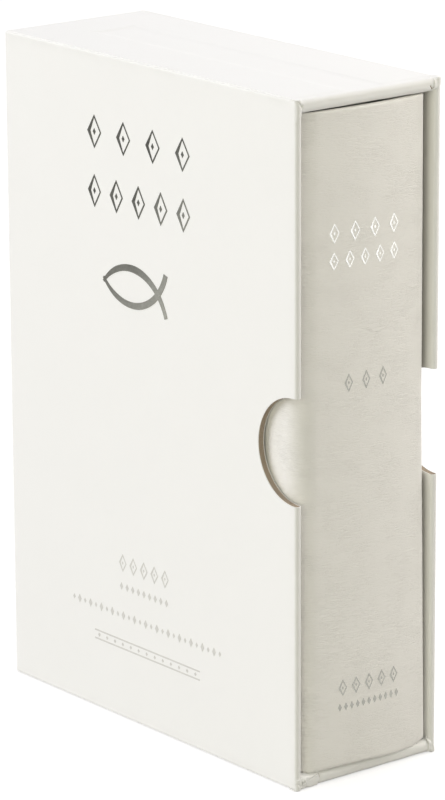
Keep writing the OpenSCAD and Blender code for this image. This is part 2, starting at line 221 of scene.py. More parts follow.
# Pulp: soft cloudy formation, with short fibres felted over it.
pulp_inputs = {"Vector": (0, 0, 0), "Cloud": 0.25, "Fibre": 3.0}
pulp, given, made = new_group("pulp", pulp_inputs, ("Tone", "Height"))
cloud = put(pulp, "TexNoise", {"Vector": given.outputs["Vector"], "Scale": given.outputs["Cloud"],
                               "Detail": 3.0, "Roughness": 0.55})
bend = put(pulp, "TexNoise", {"Vector": given.outputs["Vector"], "Scale": 0.9, "Detail": 1.0})
swerve = put(pulp, "VectorMath", {0: given.outputs["Vector"], 1: bend.outputs["Color"]}, operation="ADD")
fibre = put(pulp, "TexNoise", {"Vector": swerve.outputs[0], "Scale": given.outputs["Fibre"],
                               "Detail": 5.0, "Roughness": 0.7})
ridge = calc(pulp, "ABSOLUTE", calc(pulp, "SUBTRACT", fibre.outputs["Fac"], 0.5))
thread_mask = calc(pulp, "SUBTRACT", 1.0, calc(pulp, "MULTIPLY", ridge, 6.0))
pulp.links.new(calc(pulp, "MULTIPLY_ADD", fibre.outputs["Fac"], 0.45,
                    calc(pulp, "MULTIPLY", cloud.outputs["Fac"], 0.55)), made.inputs["Tone"])
pulp.links.new(calc(pulp, "MULTIPLY_ADD", thread_mask, 0.4, fibre.outputs["Fac"]), made.inputs["Height"])


def dress(material, *nodes):
    """The CAD nodes keep their shape and take this material."""
    for node in nodes:
        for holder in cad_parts[node].material_slots:
            holder.material = material


def greyboard(name, plies):
    """Mill board whose plies lie across the direction that plies stretches."""
    material, tree = bare_material(name)
    felt = placed(tree, pulp, {"Vector": object_vector(tree, plies), "Cloud": 0.35, "Fibre": 1.9})
    speck = put(tree, "TexNoise", {"Vector": object_vector(tree), "Scale": 4.5, "Detail": 2.0})
    dark = put(tree, "MapRange", {"Value": speck.outputs["Fac"], "From Min": 0.60, "From Max": 0.70})
    brown = tint(tree, felt.outputs["Tone"], (0.27, 0.205, 0.145), (0.56, 0.465, 0.36))
    flecked = tint(tree, calc(tree, "MULTIPLY", dark.outputs[0], 0.35), brown, (0.16, 0.12, 0.09))
    finish(tree, flecked, 0.92, felt.outputs["Height"], 0.00012)
    return material


wall_board = greyboard("greyboard_walls", (0.25, 5.0, 0.25))
panel_board = greyboard("greyboard_panels", (0.25, 0.25, 5.0))
end_board = greyboard("greyboard_end", (5.0, 0.25, 0.25))
dress(wall_board, "case_front_board", "case_back_board")
dress(panel_board, "case_top_board", "case_bottom_board")
dress(end_board, "case_end_board")

# ---- Side paper ----
# One sheet of smooth white wood-free paper, pasted round the front, the closed end and the back.
# It rolls into the mouth at both walls, and 14 mm of it folds over at head and tail.
BACK_X, FRONT_Y = (round(value / MM, 4) for value in cad_box[0][:2])
CASE_H = round(cad_box[1][2] / MM, 4)
CASE_T = -2 * FRONT_Y
MOUTH_X = -BACK_X
PAPER_T = 0.2
ROLL_R = 0.8
ROLL_X = MOUTH_X - ROLL_R
TURN_X = MOUTH_X - 12.8
EDGE_R = 0.9
FOLD_R = 0.4
FLAP = 14.0
NOTCH_R = 11.4
NOTCH_X, NOTCH_Z = MOUTH_X - 0.9, CASE_H / 2
INSIDE_MOUTH_Y = CASE_T / 2 - 2 * ROLL_R + 0.12


def object_from(name, mesh):
    """A piece of this name in the scene, with this mesh."""
    piece = bpy.data.objects.new(name, mesh)
    scene.collection.objects.link(piece)
    return piece


@contextmanager
def reworked(mesh):
    """The mesh, open for editing, and written back at the end."""
    work = bmesh.new()
    work.from_mesh(mesh)
    yield work
    work.to_mesh(mesh)
    work.free()


def grid_sheet(name, grid, keep=None):
    """A skin through rows of points in millimetres, with its collapsed cells removed."""
    points = np.asarray(grid, float)
    rows, columns = points.shape[:2]
    cells = [(r * columns + c, r * columns + c + 1, (r + 1) * columns + c + 1, (r + 1) * columns + c)
             for r in range(rows - 1) for c in range(columns - 1) if keep is None or keep(r, c)]
    mesh = bpy.data.meshes.new(name)
    mesh.from_pydata((points.reshape(-1, 3) * MM).tolist(), [], cells)
    with reworked(mesh) as work:
        bmesh.ops.delete(work, geom=[v for v in work.verts if not v.link_faces], context="VERTS")
        bmesh.ops.remove_doubles(work, verts=work.verts, dist=0.000001)
        bmesh.ops.dissolve_degenerate(work, edges=work.edges, dist=0.0000005)
    return object_from(name, mesh)


def settle(piece, material, smooth=38.0):
    """The piece with its modifiers applied, smooth but for the edges sharper than smooth degrees."""
    mesh = bpy.data.meshes.new_from_object(piece.evaluated_get(bpy.context.evaluated_depsgraph_get()))
    piece.modifiers.clear()
    piece.data = mesh
    mesh.materials.clear()
    mesh.materials.append(material)
    for face in mesh.polygons:
        face.material_index = 0
    mesh.shade_smooth()
    mesh.set_sharp_from_angle(angle=math.radians(smooth))


def waver(x, y, z, size, depth, seed=0.0):
    """A slow bulge or hollow, 0 to depth, at a point in millimetres."""
    return depth * 0.5 * (1.0 + noise.noise(Vector((x / size + seed, y / size, z / size))))


def arc(cx, cy, r, start, end, steps):
    """Points and outward directions on an arc, from its first step to its end."""
    for k in range(1, steps + 1):
        a = math.radians(start + (end - start) * k / steps)
        yield cx + r * math.cos(a), cy + r * math.sin(a), math.cos(a), math.sin(a)


def spaced(start, end, step):
    """Numbers from start to end, about step apart, without the first."""
    count = max(1, round(abs(end - start) / step))
    return [start + (end - start) * k / count for k in range(1, count + 1)]


def wall_path():
    """Stations round the case: x, y, outward x, outward y and how far the flap reaches."""
    wall_y = FRONT_Y + ROLL_R
    inside_y = wall_y + ROLL_R
    flap_ramp = 12.0
    front = [(TURN_X, inside_y, 0, 1, 0.0)]
    front += [(x, inside_y, 0, 1, 0.0) for x in spaced(TURN_X, ROLL_X, 3.0)]
    front += [(*p, ROLL_R) for p in arc(ROLL_X, wall_y, ROLL_R, 90, -90, 16)]
    straight = spaced(ROLL_X, BACK_X + FLAP, 2.5) + spaced(BACK_X + FLAP, BACK_X + EDGE_R, 1.4)
    front += [(x, FRONT_Y, 0, -1, 1.0 + (FLAP - 1.0) * min(1.0, (ROLL_X - x) / flap_ramp)) for x in straight]
    front += [(*p, FLAP) for p in arc(BACK_X + EDGE_R, FRONT_Y + EDGE_R, EDGE_R, -90, -180, 6)]
    front += [(BACK_X, y, -1, 0, FLAP) for y in spaced(FRONT_Y + EDGE_R, 0.0, 2.0)]
    return front + [(x, -y, nx, -ny, reach) for x, y, nx, ny, reach in reversed(front[:-1])]


def flap_point(x, y, nx, ny, d):
    """A station moved d inwards, kept on its own side of the mitre at the closed end's corners."""
    x, y = x - nx * d, y - ny * d
    if nx > 0 or x > BACK_X + 30:
        return x, y
    side = -1.0 if y < 0 else 1.0
    limit = CASE_T / 2 - d
    x = max(x, BACK_X + min(d, FLAP)) if abs(ny) > 0 or d > EDGE_R else x
    y = side * min(abs(y), max(limit, 0.0)) if abs(nx) > 0 or d > EDGE_R else y
    return x, y


def side_paper_rows():
    """Rows from the tail flap's free edge up to mid height: (share of the flap, fold angle, z)."""
    flap = [(q, 90.0, None) for q in (1.0, 0.7, 0.4, 0.2, 0.08)]
    fold = [(0.0, a, None) for a in (90.0, 72.0, 54.0, 36.0, 18.0)]
    wall = [(0.0, 0.0, z) for z in [PAPER_T + FOLD_R] + spaced(PAPER_T + FOLD_R, CASE_H / 2, 2.4)]
    return flap + fold + wall


def side_paper_grid():
    """The side paper's points, its lower half mirrored into the upper."""
    lower = []
    for share, angle, z in side_paper_rows():
        line = []
        for x, y, nx, ny, reach in wall_path():
            a = math.radians(angle)
            if reach == 0.0:
                px, py = x, y
                pz = z if z is not None else 2 * PAPER_T + (FOLD_R - PAPER_T) * (1 - math.sin(a))
            elif z is not None:
                sink = waver(x, y, z, 22.0, 0.05) if nx <= 0 else 0.0
                px, py, pz = x - nx * sink, y - ny * sink, z
            else:
                d = FOLD_R * (1 - math.cos(a)) + share * (reach - FOLD_R)
                px, py = flap_point(x, y, nx, ny, d)
                pz = PAPER_T + FOLD_R * (1 - math.sin(a))
            line.append((px, py, pz))
        lower.append(line)
    upper = [[(x, y, CASE_H - z) for x, y, z in line] for line in reversed(lower[:-1])]
    return [list(reversed(line)) for line in lower + upper]


def notch_cutter():
    """The punch that opens both walls: a half round that runs out past the mouth."""
    clear_x, clear_y = NOTCH_X + 8.0, 30.0
    outline = [(clear_x, NOTCH_Z - NOTCH_R), (clear_x, NOTCH_Z + NOTCH_R)]
    outline += [(NOTCH_X + NOTCH_R * math.cos(a), NOTCH_Z + NOTCH_R * math.sin(a))
                for a in np.radians(np.linspace(90, 270, 73))]
    mesh = bpy.data.meshes.new("notch_punch")
    count = len(outline)
    points = [(x * MM, y * MM, z * MM) for y in (-clear_y, clear_y) for x, z in outline]
    faces = [tuple(range(count)), tuple(reversed(range(count, 2 * count)))]
    faces += [(k, k + count, (k + 1) % count + count, (k + 1) % count) for k in range(count)]
    mesh.from_pydata(points, [], faces)
    with reworked(mesh) as work:
        bmesh.ops.recalc_face_normals(work, faces=work.faces)
    return object_from("notch_punch", mesh)


def thicken(piece, thickness):
    """The sheet's thickness, laid on behind its face."""
    solid = piece.modifiers.new("thickness", "SOLIDIFY")
    solid.thickness = thickness * MM
    solid.offset = -1.0


def cut_away(piece, cutter):
    """The cutter's solid taken out of the piece."""
    cut = piece.modifiers.new("cut_" + cutter.name, "BOOLEAN")
    cut.object = cutter
    cut.operation = "DIFFERENCE"
    cut.solver = "EXACT"


# Handling: faint grey from fingers along a box's edges, patchy and strongest at the corners.
handling_inputs = {"Vector": (0, 0, 0), "Half X": MOUTH_X, "Half Y": CASE_T / 2, "Half Z": CASE_H / 2,
                   "Reach": 5.0}
handling, given, made = new_group("handling", handling_inputs, ("Mask",))
axes = put(handling, "SeparateXYZ", {0: given.outputs["Vector"]})
from_face = []
for axis in "XYZ":
    off_centre = calc(handling, "ABSOLUTE", axes.outputs[axis])
    from_face.append(calc(handling, "SUBTRACT", given.outputs["Half " + axis], off_centre))
from_edge = [calc(handling, "MAXIMUM", from_face[a], from_face[b]) for a, b in ((0, 1), (1, 2), (0, 2))]
edge_gap = calc(handling, "MINIMUM", calc(handling, "MINIMUM", from_edge[0], from_edge[1]), from_edge[2])
patch = put(handling, "TexNoise", {"Vector": given.outputs["Vector"], "Scale": 0.16, "Detail": 4.0})
closeness = put(handling, "MapRange", {"Value": edge_gap, "From Max": given.outputs["Reach"], "To Min": 1.0,
                                       "To Max": 0.0}, interpolation_type="SMOOTHSTEP")
uneven = put(handling, "MapRange", {"Value": patch.outputs["Fac"], "From Min": 0.38, "From Max": 0.66})
handling.links.new(calc(handling, "MULTIPLY", closeness.outputs[0], uneven.outputs[0]), made.inputs["Mask"])


def covering_paper(name, pale, deep, grime=0.15, mouth_shade=0.0):
    """Smooth pasted paper: faint formation, fine fibres, a little grey from handling, and painted
    shade on the walls' inner faces, darker deeper inside the mouth."""
    material, tree = bare_material(name)
    felt = placed(tree, pulp, {"Vector": object_vector(tree), "Cloud": 0.09, "Fibre": 2.6})
    centred = put(tree, "VectorMath", {0: object_vector(tree), 1: (0, 0, CASE_H / 2)}, operation="SUBTRACT")
    soil = placed(tree, handling, {"Vector": centred.outputs[0], "Reach": 2.5})
    clean = tint(tree, felt.outputs["Tone"], deep, pale)
    worn = tint(tree, calc(tree, "MULTIPLY", soil.outputs["Mask"], grime), clean, (0.70, 0.68, 0.63))
    if mouth_shade:
        # painted shade: the walls' inner faces darken from the mouth's roll inwards, where shadow falls
        spot = put(tree, "SeparateXYZ", {0: object_vector(tree)})
        inner = calc(tree, "LESS_THAN", calc(tree, "ABSOLUTE", spot.outputs["Y"]), INSIDE_MOUTH_Y)
        deep_in = put(tree, "MapRange", {"Value": spot.outputs["X"], "From Min": ROLL_X,
                                         "From Max": ROLL_X - 2.4}, interpolation_type="SMOOTHSTEP")
        fades = put(tree, "MapRange", {"Value": spot.outputs["X"], "From Min": TURN_X,
                                       "From Max": ROLL_X - 4.0, "To Min": 0.3})
        mouth = calc(tree, "GREATER_THAN", spot.outputs["X"], TURN_X - 1.0)
        grey = calc(tree, "MULTIPLY", calc(tree, "MULTIPLY", inner, mouth),
                    calc(tree, "MULTIPLY", deep_in.outputs[0], fades.outputs[0]))
        # worn here takes the handling grey and the painted shade inside the mouth
        worn = tint(tree, calc(tree, "MULTIPLY", grey, mouth_shade), worn, (0.52, 0.50, 0.46))
    finish(tree, worn, 0.52, felt.outputs["Height"], 0.000008, Specular_IOR_Level=0.35)
    return material


# the side paper carries painted shade on the inner faces of the mouth
white_paper = covering_paper("white_covering_paper", (0.915, 0.912, 0.895), (0.885, 0.882, 0.862),
                             grime=0.15, mouth_shade=0.75)
punch = notch_cutter()
side_paper = grid_sheet("slipcase_side_paper", side_paper_grid())
thicken(side_paper, PAPER_T)
cut_away(side_paper, punch)
settle(side_paper, white_paper)
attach(side_paper, "slipcase")
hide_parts("case_side_paper")

# ---- Panel papers ----
# A panel of the same paper closes each end. It laps the side flaps, dips where they stop, rolls
# into the mouth, and is tucked over the ends of the walls with a pleat at each corner.
PANEL_INSET = 0.6
ROOM_Y = CASE_T / 2 - 2 * ROLL_R
PANEL_R = 1.4
PANEL_X = MOUTH_X - PANEL_R
FIELD_Y = CASE_T / 2 - FLAP
PRESS = 0.05
WALL_DISC = CASE_T / 2 - ROLL_R
PANEL_DISC = CASE_H - PAPER_T - PANEL_R
FLAP_FLAT, FLAP_BEND, FLAP_DOWN = 4, 8, 30


def smoothstep(low, high, value):
    """0 below low and 1 above high, with a soft rise between."""
    t = min(1.0, max(0.0, (value - low) / (high - low)))
    return t * t * (3.0 - 2.0 * t)


def panel_height(x, y):
    """Height of the panel's outer face over the box's end, flat being CASE_H."""
    inward = min(x - BACK_X, CASE_T / 2 - abs(y))
    ragged = inward + 0.25 * noise.noise(Vector((x / 6, y / 6, 3)))
    over_flap = 1.0 - smoothstep(FLAP - 0.3, FLAP + 1.1, ragged)
    over_flap *= 1.0 - smoothstep(PANEL_X - 1.6, PANEL_X, x)
    mitre = (x - BACK_X) - (CASE_T / 2 - abs(y))
    lap = (smoothstep(-1.5, -1.1, mitre) - smoothstep(-0.15, 0.1, mitre)) * over_flap
    edge = 1.0 - smoothstep(0.0, 1.2, inward - PANEL_INSET)
    sunk = PRESS + PAPER_T * (1.0 - over_flap) + 0.03 * edge + waver(x, y, 9, 9.0, 0.03)
    return CASE_H - sunk + 0.05 * lap


def panel_columns():
    """Stops across the paper, closest at the corners' pleats and where the side flaps end."""
    rim, pleats, lumps = CASE_T / 2 - PANEL_INSET, 16.1, 12.2
    left = [-rim] + spaced(-rim, -ROOM_Y - 0.08, 0.28) + [-ROOM_Y] + spaced(-ROOM_Y, -pleats, 0.1)
    left += spaced(-pleats, -lumps, 0.3) + spaced(-lumps, -FIELD_Y - 1.4, 0.9)
    left += spaced(-FIELD_Y - 1.4, -FIELD_Y + 0.6, 0.25) + spaced(-FIELD_Y + 0.6, 0.0, 0.9)
    return left + [-y for y in reversed(left[:-1])]


def panel_rows():
    """Stops along the paper: flat, then round the mouth roll by angle, then back inside."""
    closed, flap_end = BACK_X + PANEL_INSET, BACK_X + FLAP
    flat = [closed] + spaced(closed, flap_end - 0.6, 0.7) + spaced(flap_end - 0.6, flap_end + 1.4, 0.25)
    flat += spaced(flap_end + 1.4, PANEL_X - 2.0, 2.0) + spaced(PANEL_X - 2.0, PANEL_X, 0.5)
    return ([("flat", x) for x in flat] + [("roll", a) for a in spaced(90.0, -90.0, 5.0)]
            + [("inside", x) for x in spaced(PANEL_X, TURN_X, 2.4)])


def fold_line(u, v, start, end, width):
    """1 on the line from start to end, falling away to 0 over about width."""
    run = (end[0] - start[0], end[1] - start[1])
    t = ((u - start[0]) * run[0] + (v - start[1]) * run[1]) / (run[0] ** 2 + run[1] ** 2)
    t = min(1.0, max(0.0, t))
    gap = math.hypot(u - start[0] - t * run[0], v - start[1] - t * run[1])
    return math.exp(-(gap / width) ** 2)


def mouth_face(reach, z, lump):
    """How far out the papers stand: on the wall's round edge, and on the panel's roll beside it."""
    wall = ROLL_X + math.sqrt(max(0.0, ROLL_R ** 2 - (reach - WALL_DISC) ** 2))
    below = min(0.0, z - PANEL_DISC)
    panel = PANEL_X + math.sqrt(max(0.0, (PANEL_R + lump) ** 2 - below ** 2))
    share = smoothstep(17.55, 18.2, reach)
    return min(max(wall, panel + (wall - panel) * share), MOUTH_X) + PAPER_T


def corner_point(step, reach, corner, lump):
    """A stop on the panel's corner flap: out over the wall's end, round, and down to its cut."""
    across = smoothstep(17.5, 18.3, reach)
    top_z = CASE_H - PRESS - 0.14 + (PRESS + 0.13) * across
    bend = 1.0 - 0.62 * across
    bend_z = top_z - bend
    face_x = mouth_face(reach, bend_z, lump)
    if step < FLAP_FLAT:
        start_x = PANEL_X - 0.8
        x, z = start_x + (face_x - bend - start_x) * step / FLAP_FLAT, top_z
    elif step <= FLAP_FLAT + FLAP_BEND:
        a = math.radians(90.0 * (step - FLAP_FLAT) / FLAP_BEND)
        x, z = face_x - bend + bend * math.sin(a), bend_z + bend * math.cos(a)
    else:
        cut = corner["inner"] + (corner["outer"] - corner["inner"]) * (reach - ROOM_Y) / (2 * ROLL_R)
        cut_z = CASE_H - cut + 0.12 * noise.noise(Vector((reach * 3, 1, corner["inner"])))
        gone = (step - FLAP_FLAT - FLAP_BEND) / FLAP_DOWN
        z = bend_z + (min(cut_z, bend_z - 0.1) - bend_z) * gone
        x = mouth_face(reach, z, lump)
    x += 0.05 * noise.noise(Vector((reach * 1.7, z * 1.4, corner["outer"])))
    for start, end, depth in corner["folds"]:
        x -= depth * fold_line(reach, CASE_H - z, start, end, 0.17)
    return x, z


def corner_flap(name, side, corner, lump):
    """The pleated flap of a panel's paper over one wall's end, as the head has it."""
    reaches = [corner["from"]] + spaced(corner["from"], CASE_T / 2 + 0.03, 0.09)
    grid = []
    for step in range(FLAP_FLAT + FLAP_BEND + FLAP_DOWN + 1):
        line = [corner_point(step, reach, corner, lump) for reach in reaches]
        grid.append([(x, side * reach, z) for (x, z), reach in zip(line, reaches)])

    def whole_paper(r, c):
        reach, low = abs(grid[r][c][1]), CASE_H - grid[r][c][2]
        in_hole = any(abs(reach - u) < w and abs(low - v) < h for u, v, w, h in corner["holes"])
        return not in_hole or r < FLAP_FLAT + FLAP_BEND

    return grid_sheet(name, grid, whole_paper)


def turn_out(sheet, up, index):
    """The sheet turned over unless its face at index looks up, or down if not up."""
    if (sheet.data.polygons[index].normal.z > 0) != up:
        sheet.data.flip_normals()


def joined(name, pieces):
    """One object from several, which are removed."""
    work = bmesh.new()
    for piece in pieces:
        work.from_mesh(piece.data)
        bpy.data.objects.remove(piece)
    mesh = bpy.data.meshes.new(name)
    work.to_mesh(mesh)
    work.free()
    return object_from(name, mesh)


def panel_point(kind, value, y, lump):
    """A point of the panel as the head has it, with its cut edges a little ragged."""
    if kind == "flat":
        if abs(y) > CASE_T / 2 - PANEL_INSET - 0.01:
            y += math.copysign(0.10 * noise.noise(Vector((value / 1.7, 2.0 if y > 0 else 5.0, 0))), y)
        x = value
        if x < BACK_X + PANEL_INSET + 0.01:
            x += 0.10 * noise.noise(Vector((9, y / 1.5, 0)))
        return x, y, panel_height(x, y)
    r = PANEL_R + 0.05 * noise.noise(Vector((value / 60.0, y / 4.0, 2.0)))
    if lump:
        # spare paper beside the front wall, folded over and pressed flat
        pleat = smoothstep(-13.1, -13.5, y)
        r += lump * pleat * (0.7 + 0.5 * noise.noise(Vector((value / 22.0, y / 1.0, 7.0))))
        r -= lump * 0.9 * fold_line(y, value, (-13.2, 70.0), (-12.7, -60.0), 0.25)
        r -= lump * fold_line(y, value, (-17.2, 10.0), (-13.8, -35.0), 0.28)
    else:
        # a dent near the front wall, and a V of two creases near the back one
        r -= 0.10 * fold_line(y, value, (-11.6, 38.0), (-10.9, 8.0), 0.5)
        along = math.radians(value) * PANEL_R
        r -= 0.26 * fold_line(y, along, (16.2, -0.05), (16.95, -1.0), 0.18)
        r -= 0.24 * fold_line(y, along, (16.95, -1.0), (17.55, -0.2), 0.17)
    a = math.radians(value if kind == "roll" else -90.0)
    square = 1.0 + 0.14 * math.sin(2 * a) ** 2 if a > 0 else 1.0
    x = PANEL_X + r * square * math.cos(a) if kind == "roll" else value
    return min(x, MOUTH_X), y, min(PANEL_DISC + r * square * math.sin(a), CASE_H)


def panel_paper(name, node, head, corners, lump):
    """The panel of one end with its two corner flaps, made as the head's and turned over for the
    tail."""
    rows, columns = panel_rows(), panel_columns()
    grid = [[panel_point(kind, value, y, lump) for y in columns] for kind, value in rows]

    def in_field(r, c):
        outside = abs(columns[c]) > ROOM_Y + 0.01 or abs(columns[c + 1]) > ROOM_Y + 0.01
        return not (outside and rows[r + 1][0] != "flat")

    field = grid_sheet(name + "_field", grid, in_field)
    flaps = [corner_flap(name + "_flap", side, corner, lump) for side, corner in zip((-1.0, 1.0), corners)]
    for sheet in [field] + flaps:
        if not head:
            for vertex in sheet.data.vertices:
                vertex.co.z = CASE_H * MM - vertex.co.z
            sheet.data.update()
        turn_out(sheet, head, len(sheet.data.polygons) // 4 if sheet is field else 0)
    piece = joined(name, [field] + flaps)
    thicken(piece, PAPER_T)
    settle(piece, panel_white)
    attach(piece, "slipcase")
    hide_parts(node)


panel_white = covering_paper("white_panel_paper", (0.915, 0.912, 0.897), (0.885, 0.882, 0.862), grime=0.12)
# Each corner: where its flap starts, how deep it is cut at the wall's inner and outer edge, its
# folds as (start, end, depth) and its holes as (reach, depth, half width, half height).
head_corners = ({"from": 17.2, "inner": 3.0, "outer": 4.6, "holes": (),
                 "folds": [((17.9, 1.5), (19.0, 0.5), 0.5), ((18.0, 2.6), (18.3, 3.4), 0.10)]},
                {"from": 17.2, "inner": 2.4, "outer": 1.7, "holes": (), "folds": []})
tail_corners = ({"from": 16.5, "inner": 2.9, "outer": 2.4,
                 "holes": ((17.62, 1.75, 0.15, 0.42), (17.05, 1.85, 0.11, 0.34)),
                 "folds": [((17.0, 0.8), (19.0, 1.6), 0.18), ((16.7, 1.2), (17.5, 0.6), 0.16),
                           ((17.62, 1.4), (17.62, 2.1), -0.26), ((17.05, 1.5), (17.05, 2.2), -0.22)]},
                {"from": 17.2, "inner": 3.1, "outer": 0.5, "holes": (), "folds": []})
panel_paper("slipcase_head_panel", "case_top_paper", True, head_corners, 0.0)
panel_paper("slipcase_tail_panel", "case_bottom_paper", False, tail_corners, 0.26)

# ---- Slipcase linings ----
# Thin white lining paper pasted to the inside of every wall, edge to edge with the turned-in
# covering.
lining_paper = covering_paper("white_lining_paper", (0.90, 0.89, 0.865), (0.865, 0.85, 0.82), 0.05)
dress(lining_paper, "case_side_lining", "case_top_lining", "case_bottom_lining")

# ---- Cover boards and spine inlay ----
# Two boards of the same mill board, cut square and wrapped by the leather, and between them a strip
# of pliable card that is bent to the round of the spine and holds it.
cover_board = greyboard("greyboard_covers", (0.25, 5.0, 0.25))
dress(cover_board, "front_cover_board", "back_cover_board")

inlay_card, tree = bare_material("spine_card")
felt = placed(tree, pulp, {"Vector": object_vector(tree, (1.0, 1.0, 0.3)), "Cloud": 0.3, "Fibre": 2.2})
finish(tree, tint(tree, felt.outputs["Tone"], (0.56, 0.53, 0.45), (0.70, 0.67, 0.58)), 0.8,
       felt.outputs["Height"], 0.00003)
dress(inlay_card, "spine_inlay")

# ---- Cover leather ----
# One piece of ivory imitation leather over both boards and the spine: a coated cloth with a fine
# creased grain and a pearl finish, glued down, pressed into the joints and turned in all round.


def span(node, axis):
    """How far a CAD node reaches along an axis, in millimetres."""
    places = [corner[axis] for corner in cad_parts[node].bound_box]
    return round(min(places) / MM, 4), round(max(places) / MM, 4)


SPINE_R = 100.0
AXIS_X = -50.6083
BOOK_HALF = span("cover_leather", 1)[1]
FOOT_Z, TOP_Z = span("cover_leather", 2)
FORE_X = span("cover_leather", 0)[0]
BOARD_X0, BOARD_X1 = span("front_cover_board", 0)
JOINT_X, JOINT_R, JOINT_D = BOARD_X1 + 4.0, 4.85, 1.6
SHOULDER_X, SHOULDER_R = JOINT_X + 9.6, 2.6
WORN_SHOULDER_R = 5.0
SKIN_T = 0.8
BOARD_WRAP_T = 2.6
SPINE_WRAP_T = 1.6
WING_X = BOARD_X1 - 12.0
TURN_IN = 14.0
EDGE_SOFT = 0.9
INNER_SOFT = 0.7


def shoulder(r):
    """Centre and last angle of a shoulder of radius r between the cover's side and its round."""
    x = AXIS_X + math.sqrt((SPINE_R - r) ** 2 - (BOOK_HALF - r) ** 2)
    return x, r - BOOK_HALF, math.degrees(math.asin((BOOK_HALF - r) / (SPINE_R - r)))


def cover_outer(r):
    """Half of the cover's outside in plan, from the fore edge to the crown, its shoulder r round."""
    centre_x, centre_y, last = shoulder(r)
    inner_y, outer_y = -BOOK_HALF + BOARD_WRAP_T - INNER_SOFT, -BOOK_HALF + EDGE_SOFT
    line = [(FORE_X, y) for y in [inner_y] + spaced(inner_y, outer_y, 0.5)]
    line += [(x, y) for x, y, _, _ in arc(FORE_X + EDGE_SOFT, outer_y, EDGE_SOFT, 180, 270, 6)]
    line += [(x, -BOOK_HALF) for x in spaced(FORE_X + EDGE_SOFT, BOARD_X1 - 3.0, 2.6)]
    line += [(x, pressed(x)) for x in spaced(BOARD_X1 - 3.0, centre_x, 0.4)]
    line += [(x, y) for x, y, _, _ in arc(centre_x, centre_y, r, -90, -last, 9)]
    return line + [(x, y) for x, y, _, _ in arc(AXIS_X, 0.0, SPINE_R, -last, 0.0, 20)]


def pressed(x):
    """The soft hollow of the joint, pressed into the leather behind the board."""
    depth, middle, width = 0.5, JOINT_X - 1.1, 2.3
    return -BOOK_HALF + depth * math.exp(-((x - middle) / width) ** 2)


def cover_inner(turned, r):
    """Half of the cover's inside, from the crown back to the fore edge: as it is near head and tail,
    where the leather is turned in, or between, where it is a single skin."""
    wrap = SPINE_WRAP_T if turned else SKIN_T
    centre_x, centre_y, last = shoulder(r)
    line = [(x, y) for x, y, _, _ in arc(AXIS_X, 0.0, SPINE_R - wrap, 0.0, -last + 0.3, 15)]
    line += [(x, y) for x, y, _, _ in arc(centre_x, centre_y, r - SKIN_T, -last, -90, 5)]
    deep = -BOOK_HALF + JOINT_D - JOINT_R
    gap = JOINT_R + SKIN_T
    for x in spaced(centre_x, BOARD_X1 + 0.05, 0.6):
        dip = math.sqrt(gap ** 2 - (x - JOINT_X) ** 2) if abs(x - JOINT_X) < gap else 0.0
        line.append((x, max(-BOOK_HALF + SKIN_T, deep + dip)))
    top = -BOOK_HALF + BOARD_WRAP_T
    over_board = top if turned else -BOOK_HALF + SKIN_T
    flap_x = BOARD_X0 + TURN_IN
    line += [(x, over_board) for x in [BOARD_X1, WING_X, WING_X - 0.01] + spaced(WING_X, flap_x + 0.01, 4.0)]
    line += [(x, top) for x in [flap_x] + spaced(flap_x, FORE_X + INNER_SOFT, 3.0)]
    corner = arc(FORE_X + INNER_SOFT, top - INNER_SOFT, INNER_SOFT, 90, 180, 5)
    return line + [(x, y) for x, y, _, _ in corner][:-1]


def mirrored(half):
    """The other half of an outline, back from the crown."""
    return [(x, -y) for x, y in reversed(half)]


outer = cover_outer(WORN_SHOULDER_R) + mirrored(cover_outer(SHOULDER_R))[1:]
outlines = {turned: np.array(outer + mirrored(cover_inner(turned, SHOULDER_R))
                             + cover_inner(turned, WORN_SHOULDER_R)) for turned in (True, False)}
outer_count = len(outer)
loop_count = len(outlines[True])


def outward(outline):
    """Outward directions along a closed outline, whichever way round it runs."""
    ahead, behind = np.roll(outline, -1, axis=0), np.roll(outline, 1, axis=0)
    run = ahead - behind
    run /= np.maximum(np.linalg.norm(run, axis=1, keepdims=True), 1e-9)
    area = np.sum(outline[:, 0] * ahead[:, 1] - ahead[:, 0] * outline[:, 1])
    side = np.stack([run[:, 1], -run[:, 0]], axis=1)
    return side if area > 0 else -side


def edge_softness(outline):
    """How far the head and tail edges are rounded at each station: most over the boards, least at
    the joints, where the leather is thin."""
    x, y = outline[:, 0], outline[:, 1]
    soft = np.where(x < BOARD_X1 - 1.8, 0.75, 0.36)
    soft = np.where((x > SHOULDER_X) & (np.abs(y) < 11.0), 0.62, soft)
    for _ in range(4):
        soft = (np.roll(soft, 1) + soft + np.roll(soft, -1)) / 3
    return soft


def leather_rows():
    """Rows from the foot up to mid height: the rounded edge by angle, then heights over the foot,
    first where the leather is turned in and then where it is single."""
    turned_h, middle_h, pitch = SKIN_T + TURN_IN, (TOP_Z - FOOT_Z) / 2, 1.25
    single_h = turned_h + 0.05
    rows = [("edge", a) for a in (90.0, 72.0, 54.0, 36.0, 18.0)]
    rows += [("turned", h) for h in [SKIN_T] + spaced(SKIN_T, turned_h, pitch)]
    return rows + [("single", h) for h in [single_h] + spaced(single_h, middle_h, pitch)]


side_dirs = {turned: outward(outline) for turned, outline in outlines.items()}
soft_edge = edge_softness(outlines[True])


def leather_loop(kind, value, head):
    """The cover's outline at one row, or at the row as far from the head if head."""
    turned = kind != "single"
    outline, normal = outlines[turned], side_dirs[turned]
    if kind == "edge":
        a = math.radians(value)
        inset = soft_edge * (1 - math.cos(a))
        rise = soft_edge * (1 - math.sin(a))
    else:
        inset = np.zeros(loop_count)
        rise = np.full(loop_count, value)
    points = []
    for k in range(loop_count):
        x, y = outline[k] - normal[k] * inset[k]
        z = TOP_Z - rise[k] if head else FOOT_Z + rise[k]
        if kind != "edge" and k < outer_count:
            swell = waver(x, y, z, 7.0, 0.05, 11.0)
            x, y = x - normal[k][0] * swell, y - normal[k][1] * swell
        if k < outer_count:
            x, y, z = leaning(x, y, z)
        points.append((x, y, z))
    return points


